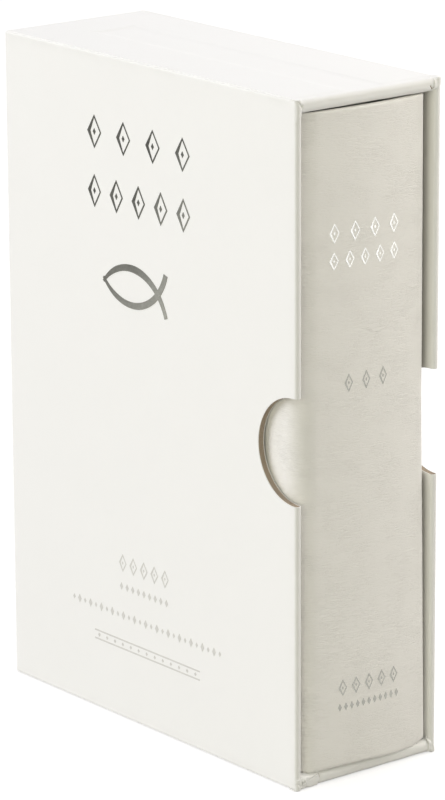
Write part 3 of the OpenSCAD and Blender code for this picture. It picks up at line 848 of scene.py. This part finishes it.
def leaning(x, y, z):
    """A point of the outside as the spine sags: its foot stands out and hangs on the case's roll,
    its near shoulder is less worn at the foot, and its far one is slack and drawn in."""
    sags_below, hangs_below = 80.0, 14.0
    near_x, near_y = 45.9, -15.9
    stands_out, filled_out = 1.15, 1.2
    slack_turn, slack_spread = 52.0, 26.0
    low = max(0.0, 1.0 - z / sags_below)
    near = math.exp(-((x - near_x) / 2.2) ** 2 - ((y - near_y) / 1.7) ** 2)
    full = filled_out * low ** 4 * near
    if x < SHOULDER_X:
        return x + full, y, z
    crown = smoothstep(SHOULDER_X, SHOULDER_X + 2.4, x)
    foot = max(0.0, 1.0 - (z - FOOT_Z) / hangs_below) ** 2
    hang = 0.62 * math.exp(-((y - 7.5) / 7.5) ** 2) - 0.9 * smoothstep(12.5, 17.0, y)
    turn = math.degrees(math.atan2(y - BOOK_HALF + SHOULDER_R, x - SHOULDER_X))
    slack = math.exp(-((turn - slack_turn) / slack_spread) ** 2) if y > BOOK_HALF - SHOULDER_R else 0.0
    move = (0.62 - 0.0085 * z + 0.30 * low) * slack
    drawn = (0.42 + 0.36 * (1.0 - z / 140.0)) * slack
    x += stands_out * low ** 1.3 * crown + 0.62 * move + full
    return x, y + 0.78 * min(move, 0.25) - drawn, z - hang * foot * crown


def end_cap(ring):
    """Triangles that close the narrow strip between a loop's outside and its inside."""
    out_k, in_k, faces = 0, loop_count - 1, []
    while out_k < outer_count - 1 or in_k > outer_count:
        far = ring[out_k], ring[in_k]
        step_out = math.dist(ring[min(out_k + 1, outer_count - 1)], far[1])
        step_in = math.dist(ring[max(in_k - 1, outer_count)], far[0])
        if in_k == outer_count or (out_k < outer_count - 1 and step_out <= step_in):
            faces.append((out_k, out_k + 1, in_k))
            out_k += 1
        else:
            faces.append((out_k, in_k - 1, in_k))
            in_k -= 1
    return faces


low_rows = leather_rows()
loops = [leather_loop(kind, value, False) for kind, value in low_rows]
loops += [leather_loop(kind, value, True) for kind, value in reversed(low_rows[:-1])]
ring_count = len(loops)
cells = [(r * loop_count + k, r * loop_count + (k + 1) % loop_count,
          (r + 1) * loop_count + (k + 1) % loop_count, (r + 1) * loop_count + k)
         for r in range(ring_count - 1) for k in range(loop_count)]
for first, ring in ((0, loops[0]), ((ring_count - 1) * loop_count, loops[-1])):
    cells += [tuple(first + k for k in face) for face in end_cap(ring)]
mesh = bpy.data.meshes.new("cover_leather_skin")
mesh.from_pydata((np.array(loops).reshape(-1, 3) * MM).tolist(), [], cells)
with reworked(mesh) as work:
    bmesh.ops.remove_doubles(work, verts=work.verts, dist=0.000001)
    bmesh.ops.recalc_face_normals(work, faces=work.faces)
leather = object_from("bible_cover_leather", mesh)


def pocket(node):
    """A closed copy of a CAD node, to cut its own room."""
    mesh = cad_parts[node].data.copy()
    with reworked(mesh) as work:
        bmesh.ops.remove_doubles(work, verts=work.verts, dist=0.0000005)
    return object_from("pocket_" + node, mesh)


pockets = [pocket(node) for node in ("front_cover_board", "back_cover_board", "spine_inlay")]
for room in pockets:
    cut_away(leather, room)

# Creased grain: short flattened creases that run round the book, over fine pores.
creases, given, made = new_group("creases", {"Vector": (0, 0, 0), "Size": 1.0}, ("Height", "Tone"))
sized = put(creases, "VectorMath", {0: given.outputs["Vector"], "Scale": given.outputs["Size"]},
            operation="SCALE")
drift = put(creases, "TexNoise", {"Vector": sized.outputs[0], "Scale": 0.35, "Detail": 2.0})
slight = put(creases, "VectorMath", {0: drift.outputs["Color"], "Scale": 0.14}, operation="SCALE")
drifted = put(creases, "VectorMath", {0: sized.outputs[0], 1: slight.outputs[0]}, operation="ADD")
flat_vector = put(creases, "Mapping", {"Vector": drifted.outputs[0], "Scale": (0.24, 0.24, 2.6)})
crease = put(creases, "TexNoise", {"Vector": flat_vector.outputs[0], "Scale": 1.2, "Detail": 2.0,
                                   "Roughness": 0.5})
valley = calc(creases, "ABSOLUTE", calc(creases, "SUBTRACT", crease.outputs["Fac"], 0.5))
line = put(creases, "MapRange", {"Value": valley, "From Max": 0.07}, interpolation_type="SMOOTHSTEP")
where = put(creases, "TexNoise", {"Vector": sized.outputs[0], "Scale": 0.16, "Detail": 2.0})
patches = put(creases, "MapRange", {"Value": where.outputs["Fac"], "From Min": 0.30, "From Max": 0.58,
                                    "To Min": 0.3})
pores = put(creases, "TexVoronoi", {"Vector": drifted.outputs[0], "Scale": 3.2})
lined = calc(creases, "MULTIPLY", calc(creases, "SUBTRACT", line.outputs[0], 1.0), patches.outputs[0])
height = calc(creases, "MULTIPLY_ADD", pores.outputs["Distance"], 0.12, lined)
creases.links.new(calc(creases, "MULTIPLY_ADD", crease.outputs["Fac"], 0.6, height), made.inputs["Height"])
# painted shade: Tone darkens the colour along the crease grooves, where the bump is lowest
creases.links.new(calc(creases, "MULTIPLY_ADD", lined, 0.34, 1.0), made.inputs["Tone"])

pearl_leather, tree = bare_material("pearl_ivory_leather")
grain = placed(tree, creases, {"Vector": object_vector(tree), "Size": 1.0})
shade = put(tree, "TexNoise", {"Vector": object_vector(tree, (1, 1, 0.25)), "Scale": 0.12, "Detail": 3.0})
ivory = tint(tree, shade.outputs["Fac"], (0.885, 0.868, 0.828), (0.905, 0.888, 0.850))
# the leather's colour, with painted shade in the crease grooves
grain_and_crease_shade = tint(tree, grain.outputs["Tone"], (0.855, 0.835, 0.785), ivory)
polish = put(tree, "MapRange", {"Value": shade.outputs["Fac"], "To Min": 0.36, "To Max": 0.46})
finish(tree, grain_and_crease_shade, polish.outputs[0], grain.outputs["Height"], 0.000035, Specular_IOR_Level=0.5,
       Sheen_Weight=0.1, Sheen_Roughness=0.4)
settle(leather, pearl_leather, 44.0)
for room in pockets:
    bpy.data.objects.remove(room)
bpy.data.objects.remove(punch)
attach(leather, "book")
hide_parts("cover_leather")

# ---- Foil and print on the slipcase ----
# Pewter foil, hot-stamped through a die: two rows of open lozenges and the fish drawn with two
# arcs. Below it, a quiet ornament of lozenges and rules in pale grey ink.
FOIL_T = 0.03
INK_T = 0.012


def flat_marks(name, quads, thickness, place, material, body):
    """Raised marks from quads in the plane, put on a surface by place. Each stands a hair higher
    than the one before, so crossing strokes share no face."""
    vertices, faces = [], []
    for order, quad in enumerate(quads):
        start = len(vertices)
        for lift in (-0.04, thickness + 0.0002 * order):
            vertices += [place(u, v, lift) for u, v in quad]
        faces += [tuple(start + 4 + k for k in range(4)), tuple(start + 3 - k for k in range(4))]
        faces += [(start + k, start + (k + 1) % 4, start + 4 + (k + 1) % 4, start + 4 + k) for k in range(4)]
    mesh = bpy.data.meshes.new(name)
    mesh.from_pydata([tuple(c * MM for c in v) for v in vertices], [], faces)
    with reworked(mesh) as work:
        bmesh.ops.recalc_face_normals(work, faces=work.faces)
    mesh.materials.append(material)
    piece = object_from(name, mesh)
    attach(piece, body)


def ribbon_quads(points, widths):
    """Quads that follow a line in the plane, with the stroke's width at each point."""
    line, half = np.array(points, float), np.array(widths, float) / 2
    run = np.gradient(line, axis=0)
    run /= np.linalg.norm(run, axis=1, keepdims=True)
    side = np.stack([-run[:, 1], run[:, 0]], axis=1) * half[:, None]
    one, other = line + side, line - side
    return [[tuple(one[k]), tuple(other[k]), tuple(other[k + 1]), tuple(one[k + 1])]
            for k in range(len(line) - 1)]


def lozenge(u, v, w, h):
    """A filled lozenge."""
    return [[(u, v + h / 2), (u - w / 2, v), (u, v - h / 2), (u + w / 2, v)]]


def open_lozenge(u, v, w, h, thick, thin):
    """An outlined lozenge with a stroke that is thick on two sides and thin on the others."""
    steep = thin * h / w
    tips = [(u, v + h / 2), (u - w / 2, v), (u, v - h / 2), (u + w / 2, v)]
    inner = [(u, v + h / 2 - steep), (u - w / 2 + thick, v), (u, v - h / 2 + steep), (u + w / 2 - thin, v)]
    return [[tips[k], inner[k], inner[(k + 1) % 4], tips[(k + 1) % 4]] for k in range(4)]


def mark_row(u0, u1, v0, v1, count, w, thick, thin):
    """Open lozenges, each with a small one inside, spread from u0 to u1."""
    v, h = (v0 + v1) / 2, v1 - v0
    marks = []
    for u in np.linspace(u0 + w / 2, u1 - w / 2, count):
        marks += open_lozenge(u, v, w, h, thick, thin)
        marks += lozenge(u, v, w * 0.20, h * 0.20)
    return marks


def dotted(u0, u1, v, count, sizes):
    """Filled lozenges from u0 to u1, their widths and heights taken from sizes in turn."""
    marks = []
    for k, u in enumerate(np.linspace(u0, u1, count)):
        marks += lozenge(u, v, *sizes[k % len(sizes)])
    return marks


def rule(u0, u1, v, thick):
    """A level line."""
    return [[(u0, v + thick / 2), (u0, v - thick / 2), (u1, v - thick / 2), (u1, v + thick / 2)]]


def fish(u, v, radius, rise, first, second):
    """Two arcs that meet at the nose and cross before the tail, each with its own widths."""
    nose = math.degrees(math.acos(-math.sqrt(radius ** 2 - rise ** 2) / radius))
    points = 49
    strokes = []
    for side, widths in ((1.0, first), (-1.0, second)):
        line = [(u + radius * math.cos(a), v + side * (radius * math.sin(a) - rise))
                for a in np.radians(np.linspace(nose + 3.0, 17.5, points))]
        strokes += ribbon_quads(line, np.interp(np.linspace(0, 1, points), (0.0, 0.2, 0.5, 0.8, 1.0), widths))
    return strokes


def foil(name, dark, pale, roughness, glare_slope=0.0):
    """Metal leaf, taking the grain of what it is stamped on, and painted paler down to the right: a painted
    highlight.
    """
    middle_z = 102.0
    material, tree = bare_material(name)
    break_up = put(tree, "TexNoise", {"Vector": object_vector(tree), "Scale": 1.3, "Detail": 5.0,
                                      "Roughness": 0.65})
    slow = put(tree, "TexNoise", {"Vector": object_vector(tree), "Scale": 0.08, "Detail": 1.0})
    half_slow = calc(tree, "MULTIPLY", slow.outputs["Fac"], 0.5)
    blend = calc(tree, "MULTIPLY_ADD", break_up.outputs["Fac"], 0.5, half_slow)
    axes = put(tree, "SeparateXYZ", {0: object_vector(tree)})
    downhill = calc(tree, "SUBTRACT", axes.outputs["X"], calc(tree, "SUBTRACT", axes.outputs["Z"], middle_z))
    # painted highlight: the leaf's colour is made lighter down to the right
    painted_glare = put(tree, "MapRange", {"Value": downhill, "From Min": -22.0, "From Max": 20.0, "To Min": -glare_slope,
                                 "To Max": glare_slope})
    blend = calc(tree, "ADD", blend, painted_glare.outputs[0])
    grain = placed(tree, creases, {"Vector": object_vector(tree), "Size": 1.4})
    finish(tree, tint(tree, blend, dark, pale), roughness, grain.outputs["Height"], 0.00001, Metallic=1.0)
    return material


def on_front(u, v, lift):
    """A place on the case's front, u from its middle and v up."""
    return u, FRONT_Y - lift, v


# the pewter's last value paints a highlight, paler down to the right
pewter_foil = foil("pewter_foil", (0.035, 0.035, 0.030), (0.27, 0.27, 0.235), 0.42, 0.42)
TITLE_FROM, TITLE_TO = -19.75, 15.07
title = mark_row(TITLE_FROM, TITLE_TO, 125.26, 132.53, 4, 4.8, 1.05, 0.42)
title += mark_row(TITLE_FROM, TITLE_TO, 112.5, 119.7, 5, 4.5, 1.05, 0.42)
title += fish(-5.1, 97.45, 12.45, 8.45, (0.6, 1.3, 1.65, 1.35, 1.05), (0.6, 1.2, 1.5, 1.45, 1.35))
flat_marks("slipcase_front_foil", title, FOIL_T, on_front, pewter_foil, "slipcase")

grey_ink, tree = bare_material("pale_grey_ink")
felt = placed(tree, pulp, {"Vector": object_vector(tree), "Cloud": 0.8, "Fibre": 3.5})
finish(tree, tint(tree, felt.outputs["Tone"], (0.60, 0.59, 0.56), (0.70, 0.69, 0.66)), 0.6,
       felt.outputs["Height"], 0.000006)
print_marks = mark_row(-10.4, 6.9, 33.4, 37.4, 5, 2.6, 0.55, 0.3)
print_marks += dotted(-9.6, 6.1, 30.1, 9, [(1.1, 1.7)])
print_marks += dotted(-26.7, 24.2, 23.5, 27, [(0.8, 1.2), (1.2, 2.0)])
print_marks += rule(-19.3, 17.4, 17.8, 0.35) + rule(-19.3, 17.4, 15.9, 0.35)
print_marks += dotted(-17.8, 15.9, 16.85, 13, [(0.8, 0.9)])
flat_marks("slipcase_front_print", print_marks, INK_T, on_front, grey_ink, "slipcase")

# ---- Foil on the spine ----
# Bright silver foil on the leather: two short rows of lozenges, three small ones lower down, and
# two rows at the foot. The lower marks take a darker copy of the same foil: painted shade.


def on_spine(u, v, lift):
    """A place on the leather's round, u along it and v up, sagging as the leather does."""
    a = u / SPINE_R
    r = SPINE_R + lift - 0.015
    return leaning(AXIS_X + r * math.cos(a), r * math.sin(a), v)


silver_foil = foil("silver_foil", (0.80, 0.80, 0.77), (0.97, 0.97, 0.95), 0.30)
upper = mark_row(-10.2, 8.0, 115.15, 119.4, 4, 2.5, 0.5, 0.26)
upper += mark_row(-10.2, 8.0, 109.6, 113.4, 5, 2.3, 0.5, 0.26)
flat_marks("spine_title_foil", upper, FOIL_T, on_spine, silver_foil, "book")
# painted shade: the same silver foil made darker for the lower marks
shaded_silver = foil("dull_silver_foil", (0.26, 0.26, 0.235), (0.52, 0.52, 0.48), 0.38)
lower = mark_row(-6.25, 5.0, 83.6, 87.55, 3, 2.1, 0.45, 0.26)
lower += mark_row(-8.2, 7.9, 18.55, 22.15, 5, 2.2, 0.5, 0.28)
lower += dotted(-7.9, 7.6, 16.15, 11, [(0.9, 1.7)])
flat_marks("spine_foot_foil", lower, FOIL_T, on_spine, shaded_silver, "book")

# ---- Signatures ----
# Twenty-four folded sections of thin bible paper. The trimmed edges are sanded, coloured and
# gilded with silver leaf, and the leaves still show in them as fine lines.
page_paper, tree = bare_material("page_paper")
felt = placed(tree, pulp, {"Vector": object_vector(tree), "Cloud": 0.2, "Fibre": 3.0})
axes = put(tree, "SeparateXYZ", {0: object_vector(tree)})
leaf_noise = put(tree, "TexNoise", {"Vector": object_vector(tree, (0.03, 5.0, 0.03)), "Scale": 1.0,
                                    "Detail": 6.0, "Roughness": 0.75})
SECTION_T, GUTTER_HALF = 1.18, 0.1
off_gutter = calc(tree, "SUBTRACT", calc(tree, "ABSOLUTE", axes.outputs["Y"]), GUTTER_HALF)
section = calc(tree, "FRACT", calc(tree, "DIVIDE", off_gutter, SECTION_T))
off_middle = calc(tree, "ABSOLUTE", calc(tree, "SUBTRACT", section, 0.5))
parting = put(tree, "MapRange", {"Value": off_middle, "From Min": 0.40, "From Max": 0.5},
              interpolation_type="SMOOTHSTEP")
normal_axes = put(tree, "SeparateXYZ", {0: put(tree, "TexCoord").outputs["Normal"]})
end_face = calc(tree, "GREATER_THAN", calc(tree, "ABSOLUTE", normal_axes.outputs["Z"]), 0.7)
fore_face = calc(tree, "LESS_THAN", normal_axes.outputs["X"], -0.7)
trimmed = calc(tree, "MAXIMUM", end_face, fore_face)
paper = tint(tree, felt.outputs["Tone"], (0.80, 0.77, 0.69), (0.88, 0.86, 0.79))
silvered = put(tree, "MapRange", {"Value": leaf_noise.outputs["Fac"], "From Min": 0.3, "From Max": 0.7})
leaf = tint(tree, silvered.outputs[0], (0.38, 0.385, 0.39), (0.66, 0.66, 0.65))
leaf = tint(tree, calc(tree, "MULTIPLY", parting.outputs[0], 0.7), leaf, (0.20, 0.20, 0.19))
ribbed = calc(tree, "MULTIPLY_ADD", parting.outputs[0], -2.0, leaf_noise.outputs["Fac"])
finish(tree, tint(tree, trimmed, paper, leaf), calc(tree, "MULTIPLY_ADD", trimmed, -0.33, 0.75),
       calc(tree, "ADD", ribbed, felt.outputs["Height"]), 0.00003,
       Metallic=calc(tree, "MULTIPLY", trimmed, 0.85))
dress(page_paper, "signatures")

# ---- Sewing thread, mull, back lining ----
# Linen thread links the folds at six stations. An open cotton gauze and a strip of brown kraft
# paper are glued over them.
weave_inputs = {"Vector": (0, 0, 0), "Along": 1.0, "Across": 1.0}
weave, given, made = new_group("weave", weave_inputs, ("Height", "Thread"))
axes = put(weave, "SeparateXYZ", {0: given.outputs["Vector"]})
warp_wave = calc(weave, "SINE", calc(weave, "MULTIPLY", axes.outputs["X"], given.outputs["Across"]))
weft_wave = calc(weave, "SINE", calc(weave, "MULTIPLY", axes.outputs["Z"], given.outputs["Along"]))
over = calc(weave, "MULTIPLY", warp_wave, weft_wave)
solid_thread = calc(weave, "MAXIMUM", calc(weave, "ABSOLUTE", warp_wave), calc(weave, "ABSOLUTE", weft_wave))
weave.links.new(calc(weave, "MULTIPLY_ADD", over, 0.3, solid_thread), made.inputs["Height"])
weave.links.new(solid_thread, made.inputs["Thread"])

gauze, tree = bare_material("cotton_gauze")
cloth = placed(tree, weave, {"Vector": object_vector(tree), "Along": 5.2, "Across": 5.2})
slub = put(tree, "TexNoise", {"Vector": object_vector(tree), "Scale": 0.8, "Detail": 3.0})
holes = put(tree, "MapRange", {"Value": cloth.outputs["Thread"], "From Min": 0.45, "From Max": 0.7})
yarn = tint(tree, slub.outputs["Fac"], (0.70, 0.66, 0.56), (0.84, 0.81, 0.72))
finish(tree, tint(tree, holes.outputs[0], (0.42, 0.38, 0.30), yarn), 0.9, cloth.outputs["Height"], 0.00008)
dress(gauze, "mull")

linen, tree = bare_material("linen_thread")
twist = put(tree, "TexNoise", {"Vector": object_vector(tree, (1, 1, 4)), "Scale": 3.0, "Detail": 3.0})
finish(tree, tint(tree, twist.outputs["Fac"], (0.68, 0.65, 0.57), (0.86, 0.84, 0.77)), 0.7,
       twist.outputs["Fac"], 0.00004)


def thread_loops():
    """A node tree: loops of thread side by side on an arc, with a core through them, in rows."""
    tree = bpy.data.node_groups.new("thread_loops", "GeometryNodeTree")
    for label, kind in (("Radius", "Float"), ("Half Angle", "Float"), ("Count", "Int"), ("Rows", "Int"),
                        ("Row Pitch", "Float"), ("Loop", "Vector"), ("Turn", "Vector"), ("Thread", "Float"),
                        ("Core", "Float"), ("Material", "Material")):
        tree.interface.new_socket(name=label, in_out="INPUT", socket_type="NodeSocket" + kind)
    tree.interface.new_socket(name="Geometry", in_out="OUTPUT", socket_type="NodeSocketGeometry")
    given = tree.nodes.new("NodeGroupInput").outputs

    def step(kind, sockets, **settings):
        return node_in(tree, "GeometryNode" + kind, sockets, **settings).outputs

    def circle(resolution, radius):
        return step("CurvePrimitiveCircle", {"Resolution": resolution, "Radius": radius},
                    mode="RADIUS")["Curve"]

    start = calc(tree, "MULTIPLY", given["Half Angle"], -1.0)
    sweep = calc(tree, "MULTIPLY", given["Half Angle"], 2.0)
    back = step("CurveArc", {"Resolution": 64, "Radius": given["Radius"], "Start Angle": start,
                             "Sweep Angle": sweep}, mode="RADIUS")["Curve"]
    seats = step("CurveToPoints", {"Curve": back, "Count": given["Count"]}, mode="COUNT")
    facing = node_in(tree, "FunctionNodeAlignRotationToVector", {"Vector": seats["Tangent"]}, axis="X",
                     pivot_axis="Z").outputs[0]
    shaped = step("Transform", {"Geometry": circle(14, 1.0), "Scale": given["Loop"]})["Geometry"]
    turned = step("Transform", {"Geometry": shaped, "Rotation": given["Turn"]})["Geometry"]
    loop = step("CurveToMesh", {"Curve": turned, "Profile Curve": circle(6, given["Thread"])})["Mesh"]
    loops = step("InstanceOnPoints", {"Points": seats["Points"], "Instance": loop,
                                      "Rotation": facing})["Instances"]
    core = step("CurveToMesh", {"Curve": back, "Profile Curve": circle(10, given["Core"]),
                                "Fill Caps": True})["Mesh"]
    gather = tree.nodes.new("GeometryNodeJoinGeometry")
    for part in (loops, core):
        tree.links.new(part, gather.inputs["Geometry"])
    pitch = put(tree, "CombineXYZ", {"Z": given["Row Pitch"]}).outputs[0]
    ladder = step("MeshLine", {"Count": given["Rows"], "Offset": pitch}, mode="OFFSET")["Mesh"]
    rows = step("InstanceOnPoints", {"Points": ladder, "Instance": gather.outputs[0]})["Instances"]
    solid = step("RealizeInstances", {"Geometry": rows})["Geometry"]
    coated = step("SetMaterial", {"Geometry": solid, "Material": given["Material"]})["Geometry"]
    tree.links.new(coated, tree.nodes.new("NodeGroupOutput").inputs["Geometry"])
    return tree


loop_tree = thread_loops()


def grown(name, height, **values):
    """The plain mesh that the tree makes from these values, at its height on the book's back."""
    piece = object_from(name, bpy.data.meshes.new(name))
    growth = piece.modifiers.new("growth", "NODES")
    growth.node_group = loop_tree
    for item in loop_tree.interface.items_tree:
        if item.in_out == "INPUT":
            growth[item.identifier] = values[item.name.replace(" ", "_")]
    bpy.context.view_layer.update()
    mesh = bpy.data.meshes.new_from_object(piece.evaluated_get(bpy.context.evaluated_depsgraph_get()))
    piece.modifiers.clear()
    mesh.transform(Matrix.Translation((AXIS_X * MM, 0.0, height * MM)))
    piece.data = mesh
    return piece


TAIL_Z, HEAD_Z = span("signatures", 2)
SEWING_R = 97.575
LAST_A = 8.326
SECTIONS = 24
FIRST_STATION, STATION = 16.0, 20.38
sewing = grown("bible_sewing_thread", TAIL_Z + FIRST_STATION, Radius=SEWING_R * MM,
               Half_Angle=math.radians(LAST_A * (SECTIONS - 1) / SECTIONS), Count=SECTIONS, Rows=6,
               Row_Pitch=STATION * MM, Loop=(0.42 * MM, 0.34 * MM, 1.0), Turn=(math.radians(90), 0.0, 0.0),
               Thread=0.15 * MM, Core=0.1 * MM, Material=linen)
settle(sewing, linen, 80.0)
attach(sewing, "book")
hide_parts("sewing_thread")

kraft, tree = bare_material("brown_kraft")
felt = placed(tree, pulp, {"Vector": object_vector(tree, (1, 1, 0.4)), "Cloud": 0.4, "Fibre": 2.4})
axes = put(tree, "SeparateXYZ", {0: object_vector(tree)})
laid = calc(tree, "SINE", calc(tree, "MULTIPLY", axes.outputs["Z"], 6.0))
finish(tree, tint(tree, felt.outputs["Tone"], (0.34, 0.23, 0.13), (0.55, 0.41, 0.27)), 0.75,
       calc(tree, "MULTIPLY_ADD", laid, 0.15, felt.outputs["Height"]), 0.00003)
dress(kraft, "back_lining")

# ---- Head and tail bands ----
# Woven silk bands, each with a bead bound over a cord. They are glued over the ends of the folds
# and down the back, and close the gap behind the sections.
silk, tree = bare_material("band_silk")
cloth = placed(tree, weave, {"Vector": object_vector(tree), "Along": 9.0, "Across": 9.0})
finish(tree, tint(tree, cloth.outputs["Thread"], (0.60, 0.60, 0.56), (0.86, 0.86, 0.82)), 0.4,
       cloth.outputs["Height"], 0.00006, Sheen_Weight=0.3)
BEAD_C, BEAD_R = 97.035, 0.9
TAPE_C, TAPE_T, TAPE_DEEP = SEWING_R + 0.15, 0.3, 9.0


def end_band(name, node, head):
    """A bead bound with silk, and the tape it is woven to, glued down the back."""
    end_z = HEAD_Z if head else TAIL_Z
    side = 1.0 if head else -1.0
    bead = grown(name + "_bead", end_z + side * BEAD_R, Radius=BEAD_C * MM,
                 Half_Angle=math.radians(LAST_A - 0.05), Count=84, Rows=1, Row_Pitch=0.0,
                 Loop=(0.72 * MM, 0.72 * MM, 1.0), Turn=(math.radians(-8), math.radians(90), 0.0),
                 Thread=0.17 * MM, Core=0.74 * MM, Material=silk)
    grid = []
    for drop in [BEAD_R * side] + spaced(BEAD_R * side, -TAPE_DEEP * side, 0.8):
        grid.append([(AXIS_X + TAPE_C * math.cos(a), TAPE_C * math.sin(a),
                      end_z + drop + 0.06 * noise.noise(Vector((a * 160, drop, 3))))
                     for a in np.radians(np.linspace(-LAST_A, LAST_A, 61))])
    tape = grid_sheet(name + "_tape", grid)
    if tape.data.polygons[0].normal.x < 0:
        tape.data.flip_normals()
    thicken(tape, TAPE_T)
    settle(tape, silk, 60.0)
    band = joined(name, [bead, tape])
    settle(band, silk, 60.0)
    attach(band, "book")
    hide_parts(node)


end_band("bible_headband", "headband", True)
end_band("bible_tailband", "tailband", False)

# ---- Endpapers ----
# A folded sheet of heavier white paper at each side of the block: one leaf is pasted to the board
# and the other stays free.
end_sheet = covering_paper("endpaper_sheet", (0.90, 0.89, 0.86), (0.85, 0.84, 0.80), 0.0)
dress(end_sheet, "front_endpaper", "back_endpaper")

# ---- Ribbon marker ----
# Silver-grey satin ribbon, glued to the back under the kraft, over the headband and down between
# the middle leaves.
satin, tree = bare_material("satin_ribbon")
cloth = placed(tree, weave, {"Vector": object_vector(tree), "Along": 30.0, "Across": 16.0})
finish(tree, tint(tree, cloth.outputs["Thread"], (0.45, 0.45, 0.44), (0.72, 0.72, 0.70)), 0.35,
       cloth.outputs["Height"], 0.00003, Sheen_Weight=0.3)
RIBBON_W, RIBBON_T = 6.0, 0.16
RIBBON_R = 98.205
GLUED = 25.0
OVER_Z, OVER_R = HEAD_Z + 2.0, 0.5
GUTTER_X = 39.79
TWIST_RUN = 3.2
END_Z = TAIL_Z + 18.0
END_LEAN = 12.0
offsets = [RIBBON_W * (k / 8 - 0.5) for k in range(9)]
bend_x, bend_z = AXIS_X + RIBBON_R - OVER_R, OVER_Z - OVER_R
strip = []
for z in [HEAD_Z - GLUED] + spaced(HEAD_Z - GLUED, bend_z, 1.6):
    strip.append([(AXIS_X + RIBBON_R * math.cos(q / RIBBON_R), RIBBON_R * math.sin(q / RIBBON_R), z)
                  for q in offsets])
for x, z, _, _ in arc(bend_x, bend_z, OVER_R, 0, 90, 5):
    strip.append([(x, q, z) for q in offsets])
for x in spaced(bend_x, GUTTER_X + TWIST_RUN, 0.8):
    strip.append([(x, q, OVER_Z) for q in offsets])
for t in spaced(0.0, 1.0, 1 / 12):
    turn = math.radians(90.0) * smoothstep(0.0, 1.0, t)
    x, z = GUTTER_X + TWIST_RUN * (1 - t), OVER_Z + (HEAD_Z - OVER_Z) * t ** 1.5
    strip.append([(x + q * math.sin(turn), q * math.cos(turn), z) for q in offsets])
for z in spaced(HEAD_Z, END_Z, 3.0):
    lean = END_LEAN * (HEAD_Z - z) / (HEAD_Z - END_Z)
    strip.append([(GUTTER_X - lean + q, 0.0, z) for q in offsets])
ribbon = grid_sheet("bible_ribbon_marker", strip)
thicken(ribbon, RIBBON_T)
ribbon.modifiers["thickness"].offset = 0.0
settle(ribbon, satin, 50.0)
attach(ribbon, "book")
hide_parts("ribbon_marker")

# ---- Close ----
scene.view_settings.view_transform = "Standard"
